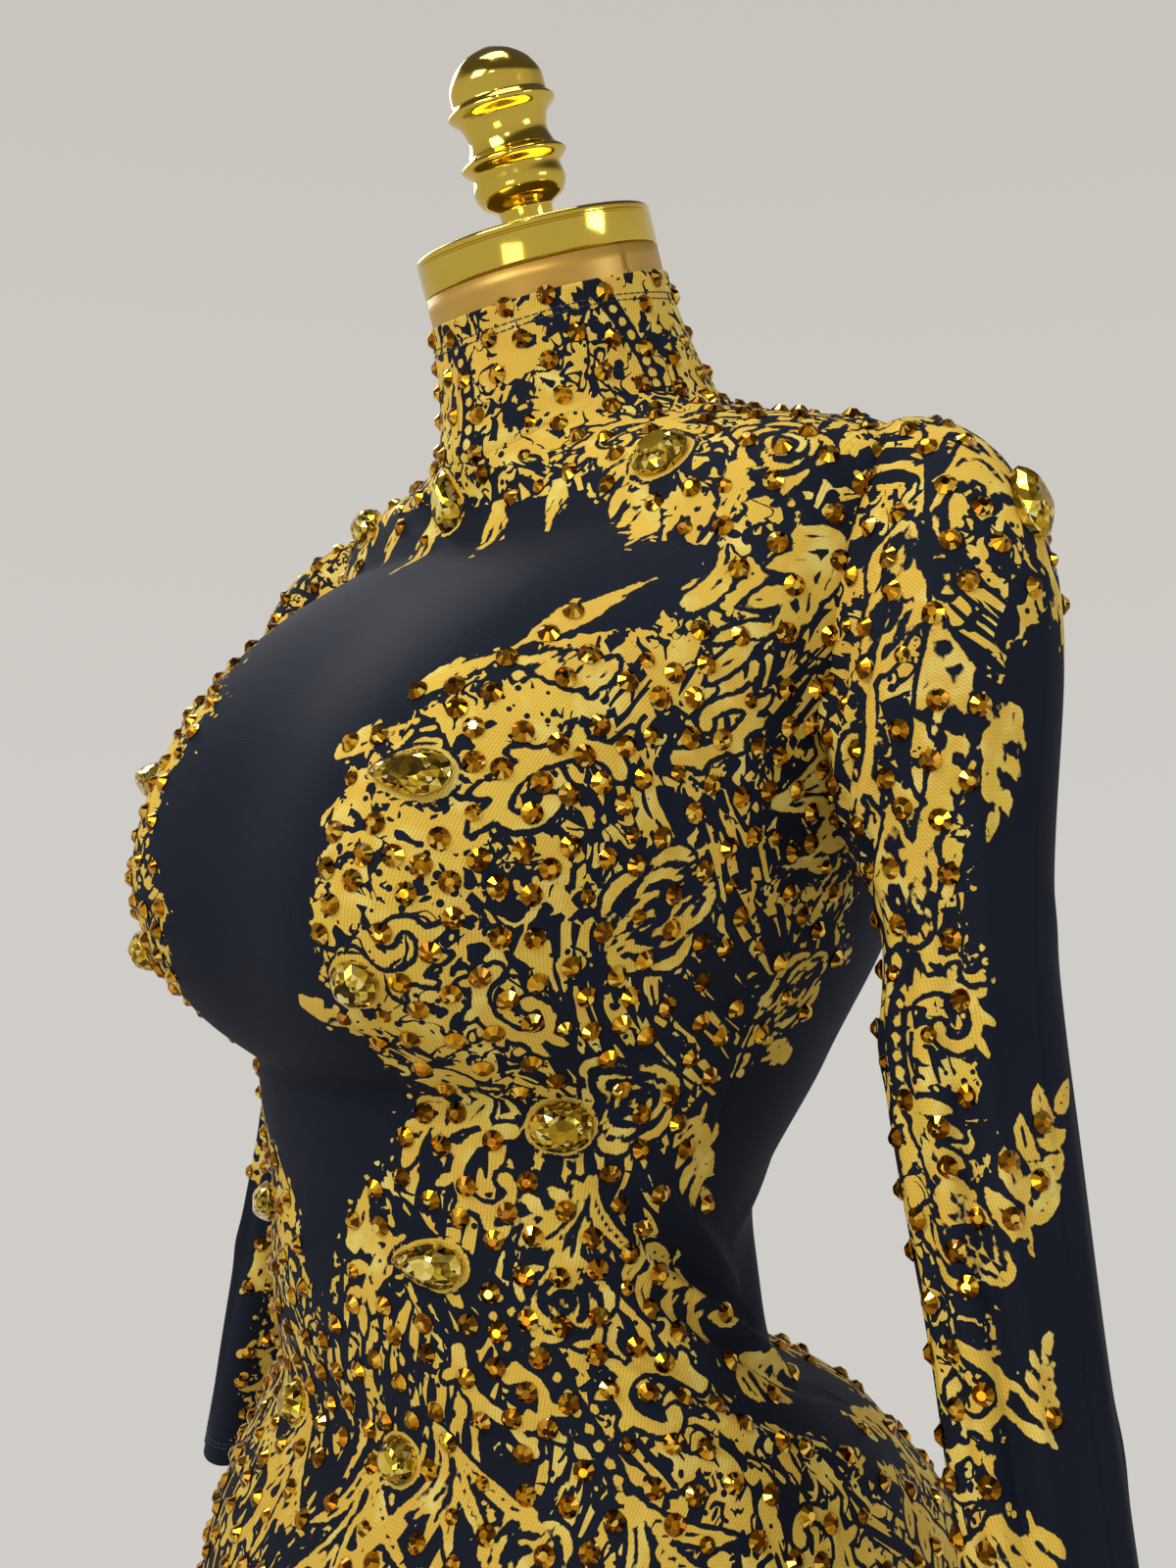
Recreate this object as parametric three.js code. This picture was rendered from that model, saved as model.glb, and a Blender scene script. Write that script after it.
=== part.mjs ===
// Stage jumpsuit with a funnel collar and long sleeves, on a limbless dress form.
// Millimetres, +Z up. The front faces -Y and the wearer's left is +X.
// The cloth is a thin wall over one body surface: a table of level sections, two bust
// cups and a yoke that closes to the neck. Every panel takes its points from that surface.
import * as THREE from 'three';
import { mergeVertices } from 'three/addons/utils/BufferGeometryUtils.js';

// ---------------------------------------------------------------- driving dimensions
const CLOTH = 1.2;            // wall of every cloth piece
const SEAM_GAP = 0.3;         // between two pieces that are sewn together
const FORM_GAP = 0.5;         // from the cloth's inside to the dress form
const HEM_HEIGHT = 100;       // trouser hems above the floor
const CUFF_HEIGHT = 850;      // sleeve hems
const CROTCH_HEIGHT = 770;
const CHEST_TOP = 1335;       // level where the sections end and the yoke begins
const ZIP_BOTTOM = 965;
const ZIP_WIDTH = 6;          // opening at the centre back that the zip fills
const HALF_COLUMNS = 10;      // panel columns from the centre line to the side seam
const SLEEVE_STEPS = 8;       // armhole steps from the shoulder tip to the underarm

// Level sections of the worn cloth, bottom to top.
const SECTIONS = [
  { z: 780, halfWidth: 164, front: 125, back: 118, centreY: 2, power: 2.25 },
  { z: 840, halfWidth: 170, front: 160, back: 158, centreY: 4, power: 2.25 },
  { z: 900, halfWidth: 165, front: 154, back: 160, centreY: 6, power: 2.2 },
  { z: 960, halfWidth: 146, front: 122, back: 114, centreY: 0, power: 2.15 },
  { z: 1000, halfWidth: 125, front: 97, back: 79, centreY: -30, power: 2.1 },
  { z: 1045, halfWidth: 110, front: 91, back: 92, centreY: -42, power: 2.1 },
  { z: 1110, halfWidth: 120, front: 112, back: 127, centreY: -28, power: 2.15 },
  { z: 1175, halfWidth: 138, front: 104, back: 151, centreY: -16, power: 2.2 },
  { z: 1235, halfWidth: 150, front: 102, back: 135, centreY: -4, power: 2.3 },
  { z: 1280, halfWidth: 160, front: 96, back: 116, centreY: 4, power: 2.4 },
  { z: 1335, halfWidth: 170, front: 80, back: 90, centreY: 8, power: 2.3 },
];

// Bust cups: two mounds on the front. The stretched cloth dips between them by a share of their depth.
const CUP = { x: 88, z: 1192, halfWidth: 82, up: 130, down: 86, depth: 80, dip: 0.2, power: 0.85 };

// Neck seam and the collar's top edge, a circle that leans forward.
const NECK = { halfWidth: 61, front: -75, back: 60, centreY: 2, sideZ: 1391, frontZ: 1358, backZ: 1399 };
const COLLAR = { lean: 20, radius: 54, centreY: -29, centreZ: 1437 };

// Armhole: its top is a share of the yoke, its bottom a height; angles in radians.
const ARMHOLE = { yokeShare: 0.24, yokeRise: 110, bottom: 1220, reach: 0.25, lean: 0.16 };

// Sleeve heads and sleeve sections, one table a side, both written as on the +X side.
const SLEEVES = {
  left: {
    head: { x: 187, y: 12, halfX: 37, halfY: 40, top: 1308, bottom: 1200, lift: 0.3 },
    rows: [
      { z: 1165, x: 197, y: 13, long: 31, short: 24, power: 1.8 },
      { z: 1120, x: 204, y: 9, long: 33, short: 21, power: 1.75 },
      { z: 1010, x: 226, y: 9, long: 30, short: 19, power: 1.75 },
      { z: CUFF_HEIGHT, x: 257, y: 8, long: 30, short: 18, power: 1.75 },
    ],
  },
  right: {
    head: { x: 194, y: -2, halfX: 43, halfY: 56, top: 1328, bottom: 1200, lift: 0.5 },
    rows: [
      { z: 1165, x: 206, y: 6, long: 33, short: 24, power: 1.8 },
      { z: 1120, x: 218, y: 3, long: 33, short: 22, power: 1.75 },
      { z: 1010, x: 246, y: -4, long: 30, short: 20, power: 1.75 },
      { z: CUFF_HEIGHT, x: 280, y: -12, long: 30, short: 20, power: 1.75 },
    ],
  },
};
const SLEEVE_TURN = 50;       // degrees that the flat of a sleeve is turned from the front
const SLEEVE_PLACES = [0, 0.17, 0.34, 0.5, 0.67, 0.84, 1, 1.2, 1.45, 1.72, 2];

// Trouser legs, empty below the form.
const LEG_ROWS = [
  { z: 705, x: 84, y: 2, halfX: 76, halfY: 96, power: 2.2 },
  { z: 640, x: 89, y: 4, halfX: 69, halfY: 82, power: 2.1 },
  { z: 500, x: 93, y: 6, halfX: 55, halfY: 65, power: 2 },
  { z: 360, x: 96, y: 4, halfX: 48, halfY: 58, power: 2 },
  { z: 230, x: 99, y: 2, halfX: 41, halfY: 50, power: 2 },
  { z: HEM_HEIGHT, x: 102, y: 0, halfX: 36, halfY: 45, power: 2 },
];
const LEG_FRONT_TURN = 50;    // degrees from a leg's own front to the trunk's centre line
const LEG_TOP = 705;          // end of the blend from the crotch
const LEG_BLEND = 60;         // pull of that blend's end tangents
const LEG_LEVELS = [LEG_TOP, 620, 500, 360, 220, HEM_HEIGHT];
const INSEAM_Y = 4;
const CROTCH_COLUMNS = 4;     // columns from the trunk's centre line to the inseam
const CROTCH_SAG = 8;

// Folds of the hanging legs: turn is from the leg's front, outward positive.
const LEG_FOLDS = [
  { turn: 20, width: 22, depth: -9, fromZ: 700, toZ: 210 },
  { turn: 75, width: 24, depth: 6, fromZ: 640, toZ: 130 },
  { turn: 160, width: 24, depth: -8, fromZ: 690, toZ: 260 },
  { turn: 290, width: 22, depth: -6, fromZ: 600, toZ: 150 },
];

// Largest folds: a soft ridge or trough along a line on the trunk, in (degrees, height).
const DEGREE_LENGTH = 2;      // millimetres along the cloth for a degree of angle at the waist
const FOLDS = [
  { fromAngle: 52, fromZ: 1078, toAngle: 92, toZ: 998, width: 15, height: 5 },
  { fromAngle: 60, fromZ: 1040, toAngle: 98, toZ: 966, width: 15, height: -5 },
  { fromAngle: 66, fromZ: 1004, toAngle: 112, toZ: 948, width: 15, height: 5 },
  { fromAngle: -60, fromZ: 1070, toAngle: -100, toZ: 994, width: 15, height: 5 },
  { fromAngle: -68, fromZ: 1030, toAngle: -106, toZ: 962, width: 15, height: -5 },
  { fromAngle: 150, fromZ: 1052, toAngle: 112, toZ: 1010, width: 14, height: 5 },
  { fromAngle: -146, fromZ: 1046, toAngle: -110, toZ: 1012, width: 14, height: 5 },
  { fromAngle: 158, fromZ: 1010, toAngle: 118, toZ: 985, width: 14, height: -4 },
  { fromAngle: -160, fromZ: 1016, toAngle: -122, toZ: 988, width: 14, height: -4 },
];

// Dress form parts above and below the cloth.
const FORM_BOTTOM = 805;
const FORM_FIRST_ROW = 1;     // grid row at the form's bottom
const CAP = { radius: 52.5, height: 17, lift: 13, chamfer: 1.5 };
const FINIAL = [
  { h: 0, r: 14 }, { h: 3, r: 14 }, { h: 6, r: 11.5 }, { h: 11, r: 12 }, { h: 15, r: 18 },
  { h: 21, r: 20.5 }, { h: 27, r: 19.5 }, { h: 31.5, r: 23.5 }, { h: 35.5, r: 19.5 },
  { h: 42, r: 17.5 }, { h: 49, r: 19.5 }, { h: 53.5, r: 23.7 }, { h: 57, r: 21 },
  { h: 63, r: 20.8 }, { h: 70, r: 17.5 }, { h: 75.5, r: 11 }, { h: 78.4, r: 4 },
];
const FINIAL_HEIGHT = 79;
const POLE = { x: -97, y: 14, radius: 12.5 };
const BASE = { radius: 200, height: 12, edge: 4, y: -38 };
const FLANGE = { radius: 34, height: 14 };

// Large stones on the trunk, placed by angle from the front and height on the surface.
const PEAR = { length: 30, width: 20, height: 8, point: 0.62 };
const OVAL = { length: 24, width: 19, height: 8, point: 0 };
const ROUND = { length: 18, width: 18, height: 8, point: 0 };
const STONES = [
  { name: 'bust', cut: PEAR, angle: 39, z: 1222, turn: 180, pair: true },
  { name: 'under_bust', cut: ROUND, angle: 36, z: 1151, turn: 0, pair: true },
  { name: 'rib', cut: OVAL, angle: 57, z: 1098, turn: 0, pair: true },
  { name: 'waist', cut: PEAR, angle: 31, z: 1044, turn: 180, pair: true },
  { name: 'hip', cut: ROUND, angle: 14, z: 966, turn: 0, pair: true },
  { name: 'chest', cut: OVAL, angle: 37, z: 1335.22, turn: 20, pair: true },
  { name: 'throat', cut: PEAR, angle: -3, z: 1335.34, turn: 100, pair: false },
];
const SHOULDER_STONE = { cut: PEAR, step: 0.42, angle: 356 };
const STONE_SIDES = 10;
const STONE_LIFT = 0.9;

// Zip: tape between the backs, slider near the top and the pull tab that hangs from it.
const ZIP = {
  thickness: 1.2, firstRow: 7, sliderWidth: 9, sliderLength: 12, sliderHeight: 3, sliderDrop: 4,
  sliderLift: 0.7,
};
const PULL = {
  headWidth: 3.8, headTop: 1, headLength: 5, width: 7, length: 24, thickness: 1.4, hole: 1.6,
  axisLift: 1.6, axisFromEnd: 3, restLean: 4,
};

// ---------------------------------------------------------------- small mathematics
const DEG = Math.PI / 180;
const clamp = (v, lo, hi) => Math.min(hi, Math.max(lo, v));
const vec = (x, y, z) => new THREE.Vector3(x, y, z);
const mix = (a, b, t) => a.clone().lerp(b, t);

/** Value of a named column at x, by a monotone cubic through the table's rows. */
function tableValue(rows, key, column, x) {
  const xs = rows.map((r) => r[key]);
  const ys = rows.map((r) => r[column]);
  const last = xs.length - 1;
  const step = xs.slice(1).map((v, i) => v - xs[i]);
  const rise = step.map((h, i) => (ys[i + 1] - ys[i]) / h);
  const slope = ys.map((_, i) => {
    if (i === 0) return rise[0];
    if (i === last) return rise[last - 1];
    if (rise[i - 1] * rise[i] <= 0) return 0;
    const w1 = 2 * step[i] + step[i - 1];
    const w2 = step[i] + 2 * step[i - 1];
    return (w1 + w2) / (w1 / rise[i - 1] + w2 / rise[i]);
  });
  const at = clamp(x, xs[0], xs[last]);
  let i = 0;
  while (i < last - 1 && at > xs[i + 1]) i += 1;
  const h = step[i];
  const t = (at - xs[i]) / h;
  return (1 + 2 * t) * (1 - t) ** 2 * ys[i] + t * (1 - t) ** 2 * h * slope[i]
    + t * t * (3 - 2 * t) * ys[i + 1] + t * t * (t - 1) * h * slope[i + 1];
}

/** Cubic curve from p0 to p1 with end tangents t0 and t1. */
function curve(p0, t0, p1, t1, s) {
  return vec(0, 0, 0)
    .addScaledVector(p0, (1 + 2 * s) * (1 - s) ** 2)
    .addScaledVector(t0, s * (1 - s) ** 2)
    .addScaledVector(p1, s * s * (3 - 2 * s))
    .addScaledVector(t1, s * s * (s - 1));
}

/** Signed power, for superellipse sections. */
const signedPower = (v, p) => Math.sign(v) * Math.abs(v) ** p;

// ---------------------------------------------------------------- body surface
/** Depth that the bust cups add in front of the section, at x and height z. */
function cupDepth(x, z) {
  const reach = z > CUP.z ? CUP.up : CUP.down;
  const dz = (z - CUP.z) / reach;
  const outside = Math.max(0, Math.abs(x) - CUP.x) / CUP.halfWidth;
  const inward = Math.cos((Math.PI / 2) * Math.min(1, Math.abs(x) / CUP.x)) ** 2;
  const mound = Math.max(0, 1 - outside ** 2 - dz * dz) ** CUP.power * (1 - CUP.dip * inward);
  const soft = 0.06;
  const joined = soft * Math.log(Math.exp(mound / soft) + 1) - soft * Math.LN2;
  return CUP.depth * Math.max(0, joined);
}

/** Height that the folds add at an angle (radians) and height on the trunk. */
function foldHeight(angle, z) {
  let sum = 0;
  for (const f of FOLDS) {
    const ax = (angle / DEG - f.fromAngle) * DEGREE_LENGTH;
    const az = z - f.fromZ;
    const dx = (f.toAngle - f.fromAngle) * DEGREE_LENGTH;
    const dz = f.toZ - f.fromZ;
    const t = (ax * dx + az * dz) / (dx * dx + dz * dz);
    if (t < 0 || t > 1) continue;
    const off = (ax * dz - az * dx) / Math.hypot(dx, dz) / f.width;
    sum += f.height * Math.exp(-off * off) * Math.sin(Math.PI * t) ** 0.7;
  }
  return sum;
}

/** Point of a level section; angle runs from the front, +x side positive. */
function sectionPoint(angle, z) {
  const value = (column) => tableValue(SECTIONS, 'z', column, z);
  const s = Math.sin(angle);
  const c = Math.cos(angle);
  const e = 2 / value('power');
  const x = value('halfWidth') * signedPower(s, e);
  const depth = c > 0 ? value('front') : value('back');
  let y = value('centreY') - depth * signedPower(c, e);
  if (c > 0) y -= cupDepth(x, z) * Math.min(1, 1.6 * Math.sqrt(c));
  const out = 1 + foldHeight(angle, z) / Math.hypot(x, y - value('centreY'));
  return vec(x * out, value('centreY') + (y - value('centreY')) * out, z);
}

/** Point of the neck seam. */
function neckPoint(angle) {
  const s = Math.sin(angle);
  const c = Math.cos(angle);
  const reach = c > 0 ? NECK.front : NECK.back;
  const rise = c > 0 ? NECK.frontZ : NECK.backZ;
  return vec(
    NECK.halfWidth * s,
    NECK.centreY + (reach - NECK.centreY) * Math.abs(c),
    NECK.sideZ + (rise - NECK.sideZ) * c * c,
  );
}

/** Point of a circle square to the neck's axis, at a height along it above the collar's top. */
function neckCircle(angle, radius, height) {
  const lean = COLLAR.lean * DEG;
  return vec(
    radius * Math.sin(angle),
    COLLAR.centreY - radius * Math.cos(angle) * Math.cos(lean) - height * Math.sin(lean),
    COLLAR.centreZ - radius * Math.cos(angle) * Math.sin(lean) + height * Math.cos(lean),
  );
}

/** Point of the trunk: level is a height up to CHEST_TOP, then CHEST_TOP + share of the yoke. */
function trunkPoint(angle, level) {
  if (level <= CHEST_TOP) return sectionPoint(angle, level);
  const p0 = sectionPoint(angle, CHEST_TOP);
  const p1 = neckPoint(angle);
  const length = p0.distanceTo(p1);
  const rising = p0.clone().sub(sectionPoint(angle, CHEST_TOP - 3)).normalize();
  const up = neckCircle(angle, COLLAR.radius, 0).sub(p1).normalize();
  const inward = p1.clone().sub(p0).multiply(vec(1, 1, 0.15)).normalize();
  const arriving = up.multiplyScalar(0.55).addScaledVector(inward, 0.45).normalize();
  return curve(p0, rising.multiplyScalar(length), p1, arriving.multiplyScalar(0.75 * length),
    level - CHEST_TOP);
}

/** Point of the collar, from the neck seam (0) to its top edge (1). */
function collarPoint(angle, share) {
  const p0 = neckPoint(angle);
  const p1 = neckCircle(angle, COLLAR.radius, 0);
  const length = p0.distanceTo(p1);
  const up = p1.clone().sub(p0).normalize();
  const inward = p0.clone().sub(sectionPoint(angle, CHEST_TOP)).multiply(vec(1, 1, 0.15)).normalize();
  const leaving = up.multiplyScalar(0.75).addScaledVector(inward, 0.25).normalize();
  const axis = neckCircle(0, 0, 1).sub(neckCircle(0, 0, 0));
  return curve(p0, leaving.multiplyScalar(0.8 * length), p1, axis.multiplyScalar(0.9 * length), share);
}

/** Angle and level of the armhole, turn 0 at the shoulder tip, PI at the underarm, front between. */
function armholePlace(turn) {
  const top = CHEST_TOP + ARMHOLE.yokeShare * ARMHOLE.yokeRise;
  const middle = (top + ARMHOLE.bottom) / 2;
  const half = (top - ARMHOLE.bottom) / 2;
  const height = middle + half * Math.cos(turn);
  const level = height <= CHEST_TOP ? height : CHEST_TOP + (height - CHEST_TOP) / ARMHOLE.yokeRise;
  const angle = Math.PI / 2 - ARMHOLE.reach * Math.sin(turn)
    + ARMHOLE.lean * (1 - Math.cos(turn)) / 2;
  return { angle, level };
}

// ---------------------------------------------------------------- walls from surface points
/** Collects vertices and faces, then gives a three.js geometry of the closed body. */
class Wall {
  constructor() {
    this.points = [];
    this.faces = [];
  }

  add(point) {
    this.points.push(point);
    return this.points.length - 1;
  }

  quad(a, b, c, d) {
    this.tri(a, b, c);
    this.tri(a, c, d);
  }

  tri(a, b, c) {
    if (a !== b && b !== c && a !== c) this.faces.push([a, b, c]);
  }

  geometry() {
    const geometry = new THREE.BufferGeometry();
    const positions = this.points.flatMap((p) => [p.x, p.y, p.z]);
    geometry.setAttribute('position', new THREE.Float32BufferAttribute(positions, 3));
    geometry.setIndex(this.faces.flat());
    return mergeVertices(geometry, 1e-3);
  }
}

/** Vertex normals of an indexed skin. */
function skinNormals(points, faces) {
  const normals = points.map(() => vec(0, 0, 0));
  for (const [a, b, c] of faces) {
    const n = points[b].clone().sub(points[a]).cross(points[c].clone().sub(points[a]));
    normals[a].add(n);
    normals[b].add(n);
    normals[c].add(n);
  }
  return normals.map((n) => n.normalize());
}

/** Gives a skin of outer faces a thickness inward and closes its open edges. */
function thicken(skin, thickness, normals = skinNormals(skin.points, skin.faces)) {
  const wall = new Wall();
  skin.points.forEach((p) => wall.add(p.clone()));
  skin.points.forEach((p, i) => wall.add(p.clone().addScaledVector(normals[i], -thickness)));
  const count = skin.points.length;
  const edges = new Map();
  for (const [a, b, c] of skin.faces) {
    wall.tri(a, b, c);
    wall.tri(a + count, c + count, b + count);
    for (const [s, e] of [[a, b], [b, c], [c, a]]) edges.set(`${s},${e}`, [s, e]);
  }
  for (const [s, e] of edges.values()) {
    if (!edges.has(`${e},${s}`)) wall.quad(s, s + count, e + count, e);
  }
  return wall;
}

// ---------------------------------------------------------------- master grid of the trunk
const armTurns = Array.from({ length: SLEEVE_STEPS + 1 }, (_, k) => Math.PI * (1 - k / SLEEVE_STEPS));
const HIP_LEVELS = [
  CROTCH_HEIGHT, 805, 840, 875, 910, 940, ZIP_BOTTOM, 988, 1010, 1036, 1064, 1094, 1126, 1160, 1192,
];
const YOKE_SHARES = [0.45, 0.66, 0.84, 1];
const COLLAR_SHARES = [0.3, 0.65, 1];
const rows = [
  ...HIP_LEVELS.map((level) => ({ level })),
  ...armTurns.map((turn) => ({ level: armholePlace(turn).level, turn })),
  ...YOKE_SHARES.map((share) => ({ level: CHEST_TOP + share })),
  ...COLLAR_SHARES.map((share) => ({ level: CHEST_TOP + 1, collar: share })),
];
const NECK_ROW = rows.length - 1 - COLLAR_SHARES.length;
const LAST_COLUMN = 2 * HALF_COLUMNS;

/** Side seam's angle on a row, for the front's edge (-1) or the back's (+1). */
function sideAngle(row, edge) {
  if (row.turn !== undefined) {
    const reach = ARMHOLE.reach * Math.sin(row.turn);
    return Math.PI / 2 + edge * reach + ARMHOLE.lean * (1 - Math.cos(row.turn)) / 2;
  }
  const drop = clamp((row.level - 1100) / (ARMHOLE.bottom - 1100), 0, 1);
  return Math.PI / 2 + (row.level > CHEST_TOP ? 0 : ARMHOLE.lean * drop * drop);
}

/** Angle of a column on a row: 0 centre front, HALF_COLUMNS side, 2 * HALF_COLUMNS centre back. */
function columnAngle(row, column, edge) {
  const side = sideAngle(row, edge);
  if (column <= HALF_COLUMNS) return side * column / HALF_COLUMNS;
  return side + (Math.PI - side) * (column - HALF_COLUMNS) / HALF_COLUMNS;
}

/** Point of the grid on a side (+1 or -1): column 0 centre front, LAST_COLUMN centre back. */
function gridPoint(r, column, side, edge) {
  const row = rows[r];
  const angle = side * columnAngle(row, column, edge);
  return row.collar === undefined ? trunkPoint(angle, row.level) : collarPoint(angle, row.collar);
}

// ---------------------------------------------------------------- legs
const LEG_TABLE = [...LEG_ROWS].reverse();

/** Radial change that a leg's hanging folds make, turn and fold place in degrees. */
function legFold(turn, z) {
  let sum = 0;
  for (const f of LEG_FOLDS) {
    if (z > f.fromZ || z < f.toZ) continue;
    const off = ((turn - f.turn + 540) % 360 - 180) / f.width;
    sum += f.depth * Math.exp(-off * off) * Math.sin(Math.PI * (f.fromZ - z) / (f.fromZ - f.toZ)) ** 0.6;
  }
  return sum;
}

/** Point of a leg's level section on the +X side; turn in degrees from its own front. */
function legSection(turn, z) {
  const value = (column) => tableValue(LEG_TABLE, 'z', column, z);
  const e = 2 / value('power');
  const fold = legFold(turn, z);
  return vec(
    value('x') + (value('halfX') + fold) * signedPower(Math.sin(turn * DEG), e),
    value('y') - (value('halfY') + fold) * signedPower(Math.cos(turn * DEG), e),
    z,
  );
}

/** Columns of one leg's top loop: the trunk's lowest row, then the crotch line back to front. */
function legColumns() {
  const columns = [];
  for (let c = 0; c <= LAST_COLUMN; c += 1) {
    const edge = c <= HALF_COLUMNS ? -1 : 1;
    const angle = columnAngle(rows[0], c, edge) / DEG;
    columns.push({
      top: gridPoint(0, c, 1, edge),
      turn: -LEG_FRONT_TURN + angle * (180 + 2 * LEG_FRONT_TURN) / 180,
      inner: 0,
      panel: c < HALF_COLUMNS ? 'front' : 'back',
    });
  }
  const back = columns[LAST_COLUMN].top;
  const front = columns[0].top;
  const innerCount = 2 * CROTCH_COLUMNS;
  for (let k = 1; k < innerCount; k += 1) {
    const share = k / innerCount;
    const half = k <= CROTCH_COLUMNS ? k / CROTCH_COLUMNS : (k - CROTCH_COLUMNS) / CROTCH_COLUMNS;
    const y = k <= CROTCH_COLUMNS
      ? THREE.MathUtils.lerp(back.y, INSEAM_Y, half)
      : THREE.MathUtils.lerp(INSEAM_Y, front.y, half);
    columns.push({
      top: vec(0, y, CROTCH_HEIGHT - CROTCH_SAG * Math.sin(Math.PI * share)),
      turn: 180 + LEG_FRONT_TURN + share * (180 - 2 * LEG_FRONT_TURN),
      inner: Math.sin(Math.PI * share),
      panel: k < CROTCH_COLUMNS ? 'back' : 'front',
    });
  }
  columns[LAST_COLUMN].panel = 'back';
  return columns;
}

/** Point of a leg on the +X side: the share of the crotch blend, or a level below it. */
function legPoint(column, row) {
  if (row.z !== undefined) return legSection(column.turn, row.z);
  const p1 = legSection(column.turn, LEG_TOP);
  const leaving = vec(column.inner, 0, 0.75 * column.inner - 1).multiplyScalar(LEG_BLEND);
  return curve(column.top, leaving, p1, vec(0, 0, -LEG_BLEND), row.share);
}

// ---------------------------------------------------------------- master skin of the jumpsuit
/** Outer skin of trunk, collar and legs, with each face marked with the panel it belongs to. */
function masterSkin() {
  const points = [];
  const faces = [];
  const seen = new Map();
  const put = (p) => {
    const key = [p.x, p.y, p.z].map((v) => Math.round(v * 1e3) + 0).join(',');
    if (!seen.has(key)) {
      seen.set(key, points.length);
      points.push(p);
    }
    return seen.get(key);
  };
  const face = (panel, side, a, b, c) => {
    if (a === b || b === c || a === c) return;
    faces.push({ panel, side, corners: side > 0 ? [a, b, c] : [a, c, b] });
  };
  const patch = (panel, side, a, b, c, d) => {
    face(panel, side, a, b, c);
    face(panel, side, a, c, d);
  };
  for (const side of [1, -1]) {
    const name = side > 0 ? 'left' : 'right';
    for (let r = 0; r + 1 < rows.length; r += 1) {
      for (let c = 0; c < LAST_COLUMN; c += 1) {
        const edge = c < HALF_COLUMNS ? -1 : 1;
        const trunk = c < HALF_COLUMNS ? 'front' : `back_${name}`;
        const at = (dr, dc) => put(gridPoint(r + dr, c + dc, side, edge));
        const panel = r >= NECK_ROW ? 'collar' : trunk;
        patch(panel, side, at(0, 0), at(0, 1), at(1, 1), at(1, 0));
      }
    }
    const columns = legColumns();
    const levels = [{ share: 0 }, { share: 0.5 }, ...LEG_LEVELS.map((z) => ({ z }))];
    const mirrored = (p) => vec(side * p.x, p.y, p.z);
    for (let r = 0; r + 1 < levels.length; r += 1) {
      columns.forEach((column, c) => {
        const next = columns[(c + 1) % columns.length];
        const at = (col, row) => put(mirrored(legPoint(col, row)));
        const panel = column.panel === 'front' ? 'front' : `back_${name}`;
        patch(panel, side, at(column, levels[r + 1]), at(next, levels[r + 1]), at(next, levels[r]),
          at(column, levels[r]));
      });
    }
  }
  const normals = skinNormals(points, faces.map((f) => f.corners));
  return { points, faces, normals, put };
}

const skin = masterSkin();

/** Whether a point lies on the line of the centre-back zip. */
const onZip = (p) => Math.abs(p.x) < 0.01 && p.y > 0 && p.z > ZIP_BOTTOM;

/** Half gap that a panel leaves along the seam edge between two of its points. */
const seamHalfGap = (a, b) => (onZip(mix(a, b, 0.5)) ? ZIP_WIDTH : SEAM_GAP) / 2;

/** Cloth wall of the faces of one panel, drawn back from its seams. */
function panelWall(panel) {
  const chosen = skin.faces.filter((f) => f.panel === panel);
  const index = new Map();
  const points = [];
  const normals = [];
  const local = (i, side) => {
    const key = onZip(skin.points[i]) ? `${i} ${side}` : `${i}`;
    if (!index.has(key)) {
      index.set(key, points.length);
      points.push(skin.points[i].clone());
      normals.push(skin.normals[i]);
    }
    return index.get(key);
  };
  const faces = chosen.map((f) => f.corners.map((i) => local(i, f.side)));
  drawBack(points, faces, seamHalfGap);
  return thicken({ points, faces }, CLOTH, normals);
}

/** Moves a skin's edge points back along the skin, by the half gap of each edge. */
function drawBack(points, faces, halfGap) {
  const edges = new Map();
  for (const [a, b, c] of faces) {
    for (const [s, e, o] of [[a, b, c], [b, c, a], [c, a, b]]) edges.set(`${s},${e}`, [s, e, o]);
  }
  const pulls = new Map();
  for (const [s, e, o] of edges.values()) {
    if (edges.has(`${e},${s}`)) continue;
    const along = points[e].clone().sub(points[s]).normalize();
    const inward = points[o].clone().sub(points[s]);
    inward.addScaledVector(along, -inward.dot(along)).normalize();
    for (const i of [s, e]) {
      if (!pulls.has(i)) pulls.set(i, []);
      pulls.get(i).push({ inward, gap: halfGap(points[s], points[e]) });
    }
  }
  const moves = [...pulls].map(([i, [first, second]]) => {
    const cosine = first.inward.dot(second.inward);
    if (cosine > 0.8) {
      const mean = first.inward.clone().add(second.inward).normalize();
      return [i, mean.multiplyScalar((first.gap + second.gap) / 2)];
    }
    const scale = 1 / (1 - cosine * cosine);
    return [i, first.inward.clone().multiplyScalar((first.gap - cosine * second.gap) * scale)
      .addScaledVector(second.inward, (second.gap - cosine * first.gap) * scale)];
  });
  moves.forEach(([i, move]) => points[i].add(move));
}

// ---------------------------------------------------------------- sleeves
/** Point of a sleeve's level section on the +X side, turn 0 outward, PI / 2 to the front. */
function sleeveSection(table, turn, z) {
  const value = (column) => tableValue(table, 'z', column, z);
  const e = 2 / value('power');
  const flat = SLEEVE_TURN * DEG;
  const long = value('long') * signedPower(Math.cos(turn + flat), e);
  const short = value('short') * signedPower(Math.sin(turn + flat), e);
  return vec(
    value('x') + long * Math.cos(flat) + short * Math.sin(flat),
    value('y') + long * Math.sin(flat) - short * Math.cos(flat),
    z,
  );
}

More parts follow.
